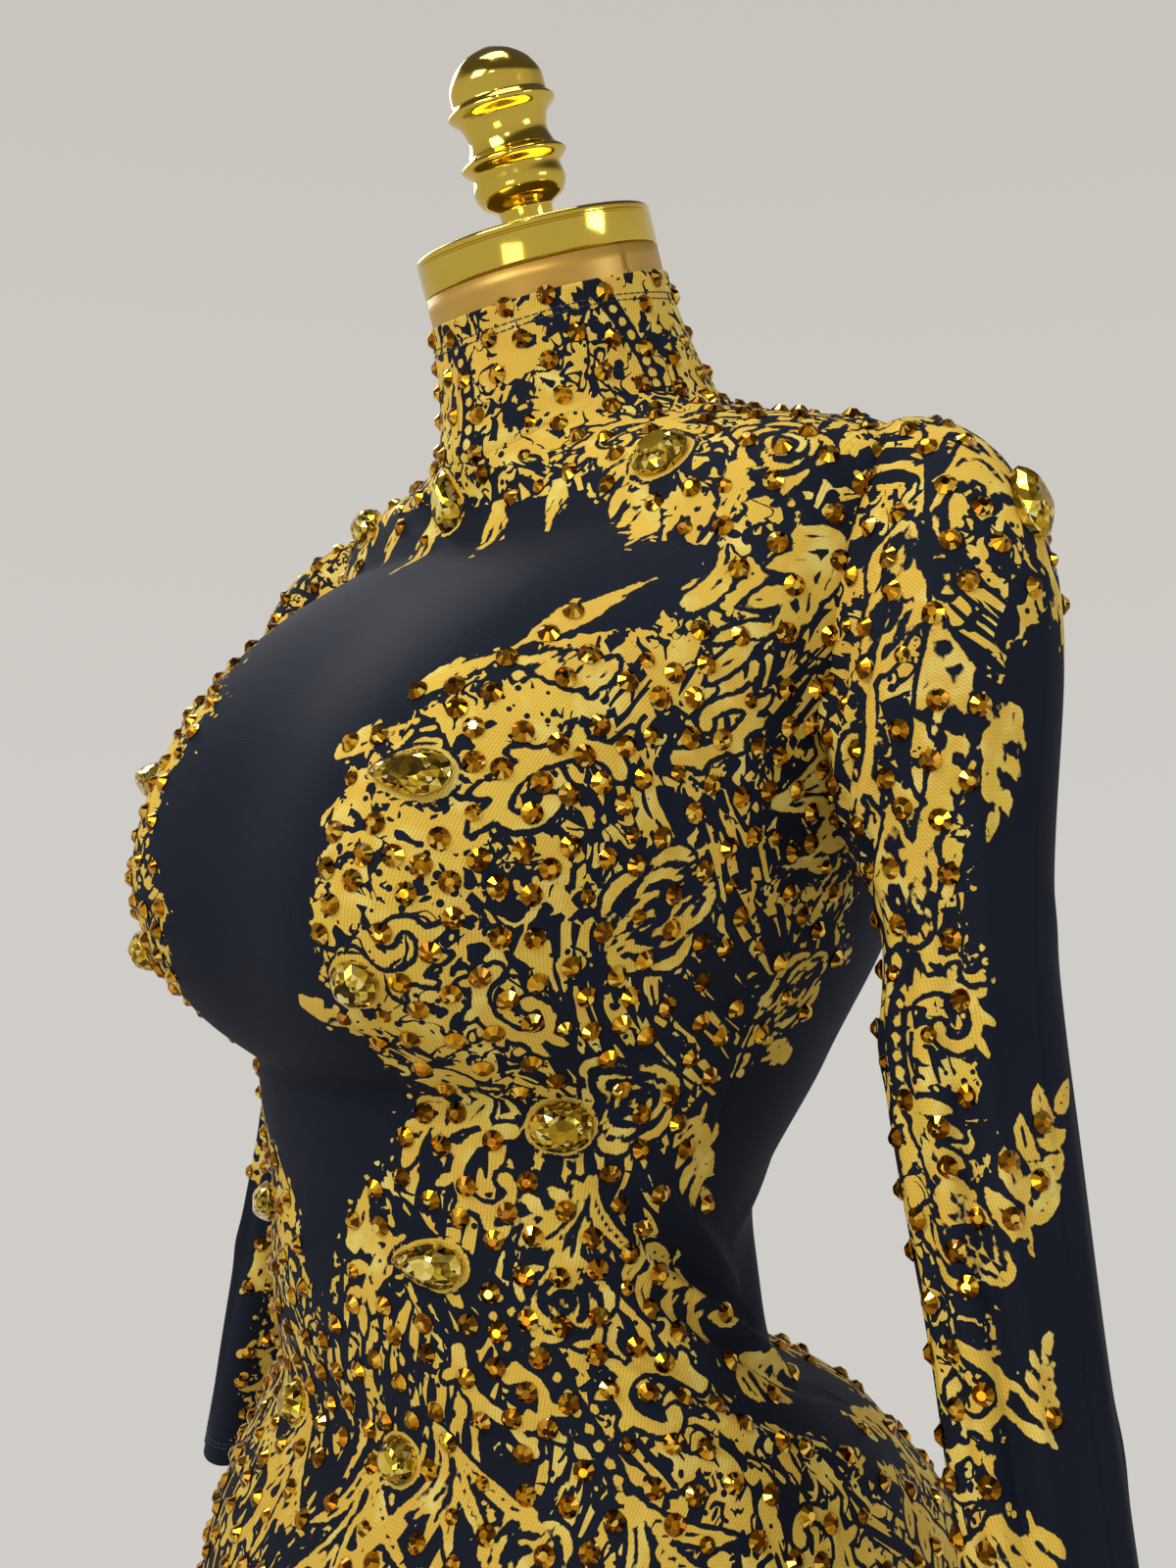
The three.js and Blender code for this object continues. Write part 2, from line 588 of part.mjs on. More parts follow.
/** Point of a sleeve on the +X side: place 0 armhole, 0.5 head, 1 first section, 2 cuff. */
function sleevePoint(sleeve, turn, place) {
  const table = [...sleeve.rows].reverse();
  const firstZ = sleeve.rows[0].z;
  if (place > 1) {
    return sleeveSection(table, turn, THREE.MathUtils.lerp(firstZ, CUFF_HEIGHT, place - 1));
  }
  const { head } = sleeve;
  const hole = armholePlace(turn);
  const start = trunkPoint(hole.angle, hole.level);
  const cosine = Math.cos(turn);
  const middle = vec(
    head.x + head.halfX * cosine,
    head.y - head.halfY * Math.sin(turn),
    (head.top + head.bottom) / 2 + (head.top - head.bottom) / 2 * cosine,
  );
  const end = sleeveSection(table, turn, firstZ);
  const across = end.clone().sub(start).multiplyScalar(0.5);
  if (place <= 0.5) {
    const leaving = vec(1, -0.45 * Math.sin(turn), head.lift * cosine - 0.175 * (1 - cosine));
    leaving.normalize().multiplyScalar(1.25 * middle.distanceTo(start));
    return curve(start, leaving, middle, across, 2 * place);
  }
  const falling = vec(0.12, 0, -1).multiplyScalar(end.distanceTo(middle));
  return curve(middle, across, end, falling, 2 * place - 1);
}

/** Outer skin of one sleeve. */
function sleeveSkin(sleeve, side) {
  const count = 2 * SLEEVE_STEPS;
  const points = [];
  const faces = [];
  for (const place of SLEEVE_PLACES) {
    for (let k = 0; k < count; k += 1) {
      const p = sleevePoint(sleeve, Math.PI * k / SLEEVE_STEPS, place);
      points.push(vec(side * p.x, p.y, p.z));
    }
  }
  for (let r = 0; r + 1 < SLEEVE_PLACES.length; r += 1) {
    for (let k = 0; k < count; k += 1) {
      const a = r * count + k;
      const b = r * count + (k + 1) % count;
      const quads = [[a, a + count, b + count], [a, b + count, b]];
      quads.forEach(([i, j, l]) => faces.push(side > 0 ? [i, l, j] : [i, j, l]));
    }
  }
  drawBack(points, faces, () => SEAM_GAP / 2);
  return { points, faces };
}

// ---------------------------------------------------------------- dress form
/** Smooth limbless body just inside the cloth, with its neck up to the cap. */
function formWall() {
  const wall = new Wall();
  const inset = CLOTH + FORM_GAP;
  const inside = (r, c, side, edge) => {
    const i = skin.put(gridPoint(r, c, side, edge));
    const p = skin.points[i].clone().addScaledVector(skin.normals[i], -inset);
    if (r === FORM_FIRST_ROW) p.z = FORM_BOTTOM;
    return p;
  };
  const flip = (side, list) => (side > 0 ? list : [list[0], list[3], list[2], list[1]]);
  const bottom = wall.add(vec(0, 0, FORM_BOTTOM));
  const top = wall.add(neckCircle(0, 0, CAP.lift - SEAM_GAP));
  const last = rows.length - 1;
  for (const side of [1, -1]) {
    for (let c = 0; c < LAST_COLUMN; c += 1) {
      const edge = c < HALF_COLUMNS ? -1 : 1;
      const at = (r, dc) => wall.add(inside(r, c + dc, side, edge));
      for (let r = FORM_FIRST_ROW; r < last; r += 1) {
        wall.quad(...flip(side, [at(r, 0), at(r, 1), at(r + 1, 1), at(r + 1, 0)]));
      }
      const [b0, b1] = [at(FORM_FIRST_ROW, 0), at(FORM_FIRST_ROW, 1)];
      wall.tri(bottom, side > 0 ? b1 : b0, side > 0 ? b0 : b1);
      const rim = (dc) => {
        const angle = side * columnAngle(rows[last], c + dc, edge);
        return wall.add(neckCircle(angle, COLLAR.radius - inset, CAP.lift - SEAM_GAP));
      };
      const [t0, t1] = [rim(0), rim(1)];
      wall.quad(...flip(side, [at(last, 0), at(last, 1), t1, t0]));
      wall.tri(top, side > 0 ? t0 : t1, side > 0 ? t1 : t0);
    }
    for (let k = 0; k < SLEEVE_STEPS; k += 1) {
      const r = HIP_LEVELS.length + k;
      const at = (row, edge) => wall.add(inside(row, HALF_COLUMNS, side, edge));
      wall.quad(...flip(side, [at(r, -1), at(r, 1), at(r + 1, 1), at(r + 1, -1)]));
    }
  }
  return wall;
}

/** Turned piece on the neck's axis, from [radius, height] corners above a seat on that axis. */
function turned(outline, segments, height) {
  const geometry = new THREE.LatheGeometry(outline.map(([r, h]) => new THREE.Vector2(r, h)), segments);
  geometry.rotateX(Math.PI / 2 + COLLAR.lean * DEG);
  const seat = neckCircle(0, 0, height);
  geometry.translate(seat.x, seat.y, seat.z);
  return geometry;
}

/** Upright turned piece about an axis at (x, y). */
function upright(outline, segments, x, y) {
  const geometry = new THREE.LatheGeometry(outline.map(([r, h]) => new THREE.Vector2(r, h)), segments);
  geometry.rotateX(Math.PI / 2);
  geometry.translate(x, y, 0);
  return geometry;
}

// ---------------------------------------------------------------- stones
/** Where a line along the normal through a point meets the cloth's faces. */
function onCloth(point, normal, { points, faces }) {
  const reach = 20;
  const ray = new THREE.Ray(point.clone().addScaledVector(normal, reach), normal.clone().negate());
  let best = point;
  let nearest = 2 * reach;
  for (const [a, b, c] of faces) {
    const hit = ray.intersectTriangle(points[a], points[b], points[c], true, vec(0, 0, 0));
    if (hit && hit.distanceTo(ray.origin) < nearest) {
      nearest = hit.distanceTo(ray.origin);
      best = hit;
    }
  }
  return best;
}

/** Faceted stone that follows the cloth; pointAt gives the cloth's point at (u, v) millimetres. */
function stoneWall(cut, turn, pointAt, cloth) {
  const wall = new Wall();
  const normal = pointAt(0.5, 0).sub(pointAt(0, 0)).cross(pointAt(0, 0.5).sub(pointAt(0, 0)));
  normal.normalize();
  const rings = [
    { height: 0, size: 0.88 }, { height: 0.35, size: 1 },
    { height: 0.66, size: 0.8 }, { height: 1, size: 0.48 },
  ];
  const lifted = (u, v, height) => onCloth(pointAt(u, v), normal, cloth).clone()
    .addScaledVector(normal, STONE_LIFT + height * cut.height);
  const ids = rings.map(({ height, size }) => Array.from({ length: STONE_SIDES }, (_, k) => {
    const t = 2 * Math.PI * k / STONE_SIDES;
    const taper = 1 - cut.point * ((1 + Math.cos(t)) / 2) ** 1.5;
    const long = cut.length / 2 * size * Math.cos(t);
    const wide = cut.width / 2 * size * Math.sin(t) * taper;
    const c = Math.cos(turn * DEG);
    const s = Math.sin(turn * DEG);
    return wall.add(lifted(long * c - wide * s, long * s + wide * c, height));
  }));
  const under = wall.add(lifted(0, 0, 0));
  const table = wall.add(lifted(0, 0, 1));
  for (let k = 0; k < STONE_SIDES; k += 1) {
    const next = (k + 1) % STONE_SIDES;
    wall.tri(under, ids[0][next], ids[0][k]);
    for (let r = 0; r + 1 < rings.length; r += 1) {
      wall.quad(ids[r][k], ids[r][next], ids[r + 1][next], ids[r + 1][k]);
    }
    wall.tri(table, ids[3][k], ids[3][next]);
  }
  return wall;
}

/** Chart of the trunk round an angle (degrees) and level, in millimetres along the cloth. */
function trunkChart(angle, level) {
  const a = angle * DEG;
  const small = 1e-3;
  const here = trunkPoint(a, level);
  const perAngle = trunkPoint(a + small, level).distanceTo(here) / small;
  const perLevel = trunkPoint(a, level + small).distanceTo(here) / small;
  return (u, v) => trunkPoint(a + u / perAngle, level + v / perLevel);
}

/** Chart of a sleeve's head round a turn (degrees) and place. */
function sleeveChart(sleeve, side, angle, place) {
  const small = 1e-3;
  const at = (t, s) => {
    const p = sleevePoint(sleeve, t, s);
    return vec(side * p.x, p.y, p.z);
  };
  const turn = angle * DEG;
  const here = at(turn, place);
  const perTurn = at(turn + small, place).distanceTo(here) / small;
  const perPlace = at(turn, place + small).distanceTo(here) / small;
  return (u, v) => at(turn - side * u / perTurn, place - v / perPlace);
}

// ---------------------------------------------------------------- zip
/** Strip of tape flush with the cloth in the centre-back opening. */
function zipTape() {
  const points = [];
  const normals = [];
  const faces = [];
  const half = ZIP_WIDTH / 2 - SEAM_GAP;
  for (let r = ZIP.firstRow; r < rows.length; r += 1) {
    const i = skin.put(gridPoint(r, LAST_COLUMN, 1, 1));
    for (const x of [half, -half]) {
      points.push(vec(x, skin.points[i].y, skin.points[i].z));
      normals.push(skin.normals[i]);
    }
  }
  for (let k = 0; k + 3 < points.length; k += 2) faces.push([k, k + 1, k + 3], [k, k + 3, k + 2]);
  return thicken({ points, faces }, ZIP.thickness, normals);
}

/** Directions at the slider's upper end: across, down the zip and out of the cloth. */
function sliderFrame() {
  const height = neckPoint(Math.PI).distanceTo(neckCircle(Math.PI, COLLAR.radius, 0));
  const share = 1 - ZIP.sliderDrop / height;
  const origin = collarPoint(Math.PI, share);
  const down = collarPoint(Math.PI, share - ZIP.sliderLength / height).sub(origin).normalize();
  const across = vec(-1, 0, 0);
  const out = down.clone().cross(across).normalize();
  return { origin, across, down, out };
}

/** Slider: a plate with two cheeks that hold the pull tab's head. */
function zipSlider({ origin, across, down, out }) {
  const half = ZIP.sliderWidth / 2;
  const low = ZIP.sliderLift;
  const top = low + ZIP.sliderHeight;
  const cheek = top + 2 * PULL.axisLift;
  const inner = PULL.headWidth / 2 + SEAM_GAP;
  const corners = [[-half, low], [half, low], [half, top], [half - 1, cheek], [inner, cheek],
    [inner, top], [-inner, top], [-inner, cheek], [1 - half, cheek], [-half, top]];
  const shape = new THREE.Shape(corners.map(([x, y]) => new THREE.Vector2(x, y)));
  const geometry = new THREE.ExtrudeGeometry(shape, { depth: ZIP.sliderLength, bevelEnabled: false });
  return geometry.applyMatrix4(new THREE.Matrix4().makeBasis(across, out, down).setPosition(origin));
}

/** Axis point of the pull tab. */
function pullAxis({ origin, down, out }) {
  return origin.clone()
    .addScaledVector(down, ZIP.sliderLength - PULL.axisFromEnd)
    .addScaledVector(out, ZIP.sliderLift + ZIP.sliderHeight + PULL.axisLift);
}

/** Pull tab: a narrow head between the cheeks and a round-ended plate with a hole. */
function zipPull(frame) {
  const head = PULL.headWidth / 2;
  const half = PULL.width / 2;
  const shape = new THREE.Shape();
  shape.moveTo(-head, -PULL.headTop);
  shape.lineTo(head, -PULL.headTop);
  shape.lineTo(head, PULL.headLength - half + head);
  shape.lineTo(half, PULL.headLength);
  shape.lineTo(half, PULL.length - half);
  shape.absarc(0, PULL.length - half, half, 0, Math.PI, false);
  shape.lineTo(-half, PULL.headLength);
  shape.lineTo(-head, PULL.headLength - half + head);
  const hole = new THREE.Path();
  hole.absarc(0, PULL.length - half, PULL.hole, 0, 2 * Math.PI, true);
  shape.holes.push(hole);
  const geometry = new THREE.ExtrudeGeometry(shape, {
    depth: PULL.thickness, bevelEnabled: false, curveSegments: 8,
  });
  geometry.translate(0, 0, -PULL.thickness / 2);
  geometry.rotateX(-PULL.restLean * DEG);
  const basis = new THREE.Matrix4().makeBasis(frame.across.clone().negate(), frame.down, frame.out);
  return geometry.applyMatrix4(basis.setPosition(pullAxis(frame)));
}

// ---------------------------------------------------------------- materials and the group
const finish = (color, roughness, metalness) => (
  new THREE.MeshStandardMaterial({ color, roughness, metalness })
);
const FINISHES = {
  cloth: () => finish(0x1c2030, 0.6, 0),
  print: () => finish(0xd2a63c, 0.6, 0),
  stone: () => finish(0xc8963a, 0.08, 0.3),
  gold: () => finish(0xd9b04a, 0.12, 1),
  form: () => finish(0xb08a45, 0.6, 0),
  zip: () => finish(0x17181f, 0.55, 0),
  steel: () => finish(0x9a9a9c, 0.3, 1),
};

const jumpsuit = new THREE.Group();

/** Adds a named mesh to the group. */
function place(name, geometry, look) {
  const mesh = new THREE.Mesh(geometry, FINISHES[look]());
  mesh.name = name;
  jumpsuit.add(mesh);
}

for (const panel of ['front', 'back_left', 'back_right']) {
  place(panel, panelWall(panel).geometry(), 'cloth');
}
place('collar', panelWall('collar').geometry(), 'print');
const sleeveSkins = { left: sleeveSkin(SLEEVES.left, 1), right: sleeveSkin(SLEEVES.right, -1) };
for (const side of ['left', 'right']) {
  place(`sleeve_${side}`, thicken(sleeveSkins[side], CLOTH).geometry(), 'cloth');
}

place('zip_tape', zipTape().geometry(), 'zip');
const slider = sliderFrame();
place('zip_slider', zipSlider(slider), 'gold');
place('zip_pull', zipPull(slider), 'gold');

const frontSkin = { points: skin.points, faces: skin.faces.map((f) => f.corners) };
for (const stone of STONES) {
  for (const side of stone.pair ? [1, -1] : [1]) {
    const name = stone.pair ? `stone_${stone.name}_${side > 0 ? 'left' : 'right'}` : `stone_${stone.name}`;
    const turn = side > 0 ? stone.turn : 180 - stone.turn;
    const chart = trunkChart(side * stone.angle, stone.z);
    place(name, stoneWall(stone.cut, turn, chart, frontSkin).geometry(), 'stone');
  }
}
for (const side of [1, -1]) {
  const name = side > 0 ? 'left' : 'right';
  const chart = sleeveChart(SLEEVES[name], side, SHOULDER_STONE.angle, SHOULDER_STONE.step);
  const wall = stoneWall(SHOULDER_STONE.cut, 90, chart, sleeveSkins[name]);
  place(`stone_shoulder_${name}`, wall.geometry(), 'stone');
}

place('form_body', formWall().geometry(), 'form');
const rim = CAP.radius;
const bevel = CAP.chamfer;
place('form_cap', turned([[0, 0], [rim - bevel, 0], [rim, bevel], [rim, CAP.height - bevel],
  [rim - bevel, CAP.height], [0, CAP.height]], 48, CAP.lift), 'gold');
const finialOutline = [[0, 0], ...FINIAL.map(({ h, r }) => [r, h]), [0, FINIAL_HEIGHT]];
place('form_finial', turned(finialOutline, 24, CAP.lift + CAP.height + SEAM_GAP), 'gold');

place('stand_base', upright([[0, 0], [BASE.radius - BASE.edge, 0], [BASE.radius, BASE.edge],
  [BASE.radius, BASE.height - BASE.edge], [BASE.radius - BASE.edge, BASE.height], [0, BASE.height]],
64, 0, BASE.y), 'steel');
const poleFoot = BASE.height + SEAM_GAP;
place('stand_pole', upright([[0, poleFoot], [POLE.radius, poleFoot], [POLE.radius, FORM_BOTTOM - SEAM_GAP],
  [0, FORM_BOTTOM - SEAM_GAP]], 20, POLE.x, POLE.y), 'steel');
const flangeTop = poleFoot + FLANGE.height;
place('stand_flange', upright([[POLE.radius + SEAM_GAP, poleFoot], [FLANGE.radius, poleFoot],
  [FLANGE.radius, poleFoot + FLANGE.height / 3], [POLE.radius + 4, flangeTop],
  [POLE.radius + SEAM_GAP, flangeTop], [POLE.radius + SEAM_GAP, poleFoot]], 24, POLE.x, POLE.y), 'steel');

// The origin is the middle of the whole piece's footprint, on the floor.
const bounds = new THREE.Box3().setFromObject(jumpsuit);
const middle = bounds.getCenter(new THREE.Vector3());
jumpsuit.position.set(-middle.x, -middle.y, -bounds.min.z);
jumpsuit.updateMatrixWorld(true);

export default jumpsuit;
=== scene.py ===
"""Stage jumpsuit with a funnel collar, printed scrolls and set stones, on a dress form."""

import logging
import math
from dataclasses import dataclass, field
from enum import Enum
from functools import partial
from typing import Callable, ClassVar, Iterator

import bpy
import numpy as np
from mathutils import Matrix, Vector

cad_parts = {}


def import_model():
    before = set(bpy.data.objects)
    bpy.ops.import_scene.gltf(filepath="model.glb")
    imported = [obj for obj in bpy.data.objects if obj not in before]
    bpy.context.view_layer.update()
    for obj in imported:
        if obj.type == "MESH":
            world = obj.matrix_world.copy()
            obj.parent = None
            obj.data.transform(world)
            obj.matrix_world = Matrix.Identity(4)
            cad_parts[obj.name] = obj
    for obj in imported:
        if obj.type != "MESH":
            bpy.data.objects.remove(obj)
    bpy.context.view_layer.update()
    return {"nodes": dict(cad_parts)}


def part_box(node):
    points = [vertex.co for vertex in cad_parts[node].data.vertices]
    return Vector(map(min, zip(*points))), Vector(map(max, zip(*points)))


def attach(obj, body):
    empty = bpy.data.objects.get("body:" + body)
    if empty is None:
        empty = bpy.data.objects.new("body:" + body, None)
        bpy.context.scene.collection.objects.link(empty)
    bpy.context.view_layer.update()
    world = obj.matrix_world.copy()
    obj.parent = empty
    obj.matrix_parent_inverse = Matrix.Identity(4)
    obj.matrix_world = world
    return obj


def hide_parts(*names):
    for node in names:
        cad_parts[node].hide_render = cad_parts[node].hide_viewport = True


Array = np.ndarray
Pair = tuple[Array, Array]
Node, Socket, Tree = bpy.types.Node, bpy.types.NodeSocket, bpy.types.NodeTree

LOG = logging.getLogger("jumpsuit")
MM = 0.001
DEG = math.pi / 180
BODY = "garment"

# Sizes shared by the pieces, in millimetres.
CHEST_TOP = 1335.0
YOKE_RISE = 110.0
COLLAR_RISE = 60.0
NECK_SEAM = CHEST_TOP + YOKE_RISE
COLLAR_TOP = NECK_SEAM + COLLAR_RISE
CROTCH = 770.0
HEM = 100.0
CUFF = 850.0
ZIP_BOTTOM = 965.0
ZIP_HALF = 3.0
BASE_Y = -38.0                  # middle of the stand's base
CLOTH_WIDTH = 330.0             # cut of half the trunk
SLEEVE_CUT = (260.0, 560.0)
COLLAR_CUT = (400.0, 78.0)

# Grids: columns of half a panel, trunk columns for each leg column, rows of the collar.
HALF_COLUMNS = 108
LEG_STRIDE = 2
COLLAR_ROWS = 46
FAR = 6.0           # a print distance well outside a layer, in millimetres
OUTSIDE = 9e3       # row number of a place that isn't on a grid
SMALL_TURN = 1e-3   # steps that measure the cloth's stretch, in radians and millimetres
SMALL_RISE = 0.1


# ------------------------------------------------------------------ mathematics
class Table:
    """Columns of numbers against a rising key, read with a monotone cubic."""

    def __init__(self, rows: tuple[tuple[float, ...], ...]) -> None:
        """Works out the slopes of every column.

        Args:
            rows: the key and the values of each row, in any order.
        """
        data = np.array(sorted(rows), float)
        self.key, self.values = data[:, 0], data[:, 1:]
        step = np.diff(self.key)[:, None]
        rise = np.diff(self.values, axis=0) / step
        self.slope = np.zeros_like(self.values)
        self.slope[0], self.slope[-1] = rise[0], rise[-1]
        first, second = 2 * step[1:] + step[:-1], step[1:] + 2 * step[:-1]
        same = rise[:-1] * rise[1:] > 0
        safe_a, safe_b = np.where(same, rise[:-1], 1), np.where(same, rise[1:], 1)
        mean = (first + second) / (first / safe_a + second / safe_b)
        self.slope[1:-1] = np.where(same, mean, 0)

    def __call__(self, key: Array) -> Array:
        """Returns the values at the keys, with one more axis for the columns."""
        at = np.clip(np.asarray(key, float), self.key[0], self.key[-1])
        i = np.clip(np.searchsorted(self.key, at, "right") - 1, 0, len(self.key) - 2)
        h = (self.key[i + 1] - self.key[i])[..., None]
        t = (at - self.key[i])[..., None] / h
        return ((1 + 2 * t) * (1 - t) ** 2 * self.values[i] + t * (1 - t) ** 2 * h * self.slope[i]
                + t * t * (3 - 2 * t) * self.values[i + 1] + t * t * (t - 1) * h * self.slope[i + 1])


def unit(v: Array) -> Array:
    """Returns the vectors at length one."""
    return v / np.maximum(np.linalg.norm(v, axis=-1, keepdims=True), 1e-9)


def length(v: Array) -> Array:
    """Returns the vectors' lengths, keeping the last axis."""
    return np.linalg.norm(v, axis=-1, keepdims=True)


def signed_power(v: Array, p: Array) -> Array:
    """Returns v to a power with its sign kept, for superellipse sections."""
    return np.sign(v) * np.abs(v) ** p


def cubic(p0: Array, t0: Array, p1: Array, t1: Array, s: Array) -> Array:
    """Returns points of the cubic curve from p0 to p1 with end tangents t0 and t1."""
    s = np.asarray(s)[..., None]
    return ((1 + 2 * s) * (1 - s) ** 2 * p0 + s * (1 - s) ** 2 * t0
            + s * s * (3 - 2 * s) * p1 + s * s * (s - 1) * t1)


def grid_normals(points: Array) -> Array:
    """Returns outward unit normals of a grid whose rows rise and whose columns turn to the left."""
    return unit(np.cross(np.gradient(points, axis=1), np.gradient(points, axis=0)))


def ring_normals(points: Array) -> Array:
    """Returns outward unit normals of a grid whose last column joins the first one."""
    around = np.concatenate([points[:, -1:], points, points[:, :1]], 1)
    return grid_normals(around)[:, 1:-1]


def run_along(line: Array) -> Array:
    """Returns the distance of each point of a line from the line's start."""
    return np.r_[0, np.cumsum(np.linalg.norm(np.diff(line, axis=0), axis=1))]


def read_along(at: Array, run: Array, values: Array) -> Array:
    """Returns the rows of values between a line's points, at distances from its start."""
    return np.stack([np.interp(at, run, column) for column in values.T], 1)


def row_at(height: Array, heights: Array) -> Array:
    """Returns row numbers on a grid as fractions, OUTSIDE for heights beyond it."""
    return np.interp(height, heights, np.arange(len(heights)), left=-OUTSIDE, right=OUTSIDE)


def degrees_off(turn: Array, at: float) -> Array:
    """Returns the signed degrees from a direction, the short way round."""
    return (turn - at + 180) % 360 - 180


def polar(radius: Array | float, angle: Array) -> Array:
    """Returns points of the plane at radii and angles in radians."""
    return np.stack([radius * np.cos(angle), radius * np.sin(angle)], 1)


def walk(angle: Array, size: float) -> Array:
    """Returns a line of even steps in the directions of the angles, size long in all."""
    return np.cumsum(polar(1, angle), 0) * size / len(angle)


def stretch(point: Callable, turn: float, place: float, step: float) -> tuple[float, float]:
    """Returns the millimetres of a surface to a radian of turn and to a unit of place."""
    here = point(turn, place)
    return (np.linalg.norm(point(turn + SMALL_TURN, place) - here) / SMALL_TURN,
            np.linalg.norm(point(turn, place + step) - here) / step)


def tube(rings: int, sides: int, closed: bool = False) -> list[tuple[int, ...]]:
    """Returns the faces between rings of vertices, from the last ring to the first too if closed."""
    faces = []
    for k in range(rings if closed else rings - 1):
        for i in range(sides):
            j, above = (i + 1) % sides, (k + 1) % rings
            faces.append((k * sides + i, k * sides + j, above * sides + j, above * sides + i))
    return faces


def capped_tube(rings: int, sides: int) -> list[tuple[int, ...]]:
    """Returns a tube's faces with fans to the two vertices that follow, at its foot and its top."""
    foot, last = rings * sides, (rings - 1) * sides
    faces = tube(rings, sides)
    for i in range(sides):
        j = (i + 1) % sides
        faces += [(foot, j, i), (foot + 1, last + i, last + j)]
    return faces


# ------------------------------------------------------------------ folds
@dataclass(frozen=True)
class Fold:
    """Soft ridge or trough along a line in (degrees, height)."""

    start: tuple[float, float]
    end: tuple[float, float]
    width: float
    rise: float
    per_degree: float = 2.0

    def height(self, angle: Array, level: Array) -> Array:
        """Returns the fold's height at angles in degrees and levels in millimetres."""
        ax, az = (angle - self.start[0]) * self.per_degree, level - self.start[1]
        dx, dz = (self.end[0] - self.start[0]) * self.per_degree, self.end[1] - self.start[1]
        t = (ax * dx + az * dz) / (dx * dx + dz * dz)
        inside = (t > 0) & (t < 1)
        across = (ax * dz - az * dx) / math.hypot(dx, dz) / self.width
        along = np.sin(math.pi * np.clip(t, 0, 1)) ** 0.7
        return np.where(inside, self.rise * np.exp(-across * across) * along, 0)


def folds(*rows: tuple[float, ...]) -> tuple[Fold, ...]:
    """Returns folds from their start, end, width, rise and, where it isn't 2, mm to a degree."""
    return tuple(Fold(row[0:2], row[2:4], *row[4:]) for row in rows)


MAIN_FOLDS = folds(
    (52, 1078, 92, 998, 15, 5), (60, 1040, 98, 966, 15, -5), (66, 1004, 112, 948, 15, 5),
    (-60, 1070, -100, 994, 15, 5), (-68, 1030, -106, 962, 15, -5), (150, 1052, 112, 1010, 14, 5),
    (-146, 1046, -110, 1012, 14, 5), (158, 1010, 118, 985, 14, -4), (-160, 1016, -122, 988, 14, -4))

FINE_FOLDS = folds(
    # waist, left and right
    (64, 1094, 112, 1028, 5, 5.2), (64, 1078, 112, 1012, 5, -4.4), (70, 1058, 124, 990, 4.5, 4.4),
    (72, 1046, 124, 978, 4.5, -4.2), (52, 1030, 100, 964, 5, 3.4), (56, 1014, 102, 952, 5, -3.2),
    (-70, 1088, -102, 1030, 6, 1.6), (-80, 1046, -114, 1004, 7, -1.8), (-92, 1020, -126, 976, 6, 1.7),
    (-46, 1016, -82, 970, 8, 1.2), (140, 1072, 108, 1046, 6, 1.4), (-138, 1068, -104, 1050, 6, 1.5),
    (170, 1030, 132, 1024, 6, -1.5), (-172, 1034, -134, 1026, 6, -1.4),
    # underarms
    (70, 1258, 88, 1214, 5, 1.6), (62, 1240, 84, 1192, 6, -1.4), (74, 1216, 98, 1172, 6, 1.3),
    (104, 1240, 96, 1196, 6, 1.4), (-70, 1254, -88, 1210, 5, 1.5), (-62, 1238, -86, 1190, 6, -1.3),
    (-76, 1212, -98, 1168, 6, 1.2), (-106, 1238, -97, 1192, 6, 1.5),
    # under the bust and over the back
    (24, 1132, 50, 1112, 6, -1.2), (-26, 1134, -52, 1110, 6, -1.1), (158, 1290, 126, 1252, 9, 1.4),
    (-156, 1286, -124, 1250, 9, 1.5),
    # neck
    (84, 1443, 168, 1436, 4.2, 3.4, 1.1), (90, 1432, 150, 1422, 5, -2.2, 1.1),
    (-108, 1441, -160, 1437, 3.2, 1.7, 1.1), (30, 1448, 84, 1440, 3.2, 1.3, 1.1),
    (-34, 1447, -88, 1441, 3.2, 1.2, 1.1), (70, 1424, 104, 1402, 7, 1.5, 1.4),
    (-72, 1424, -106, 1400, 7, 1.4, 1.4))


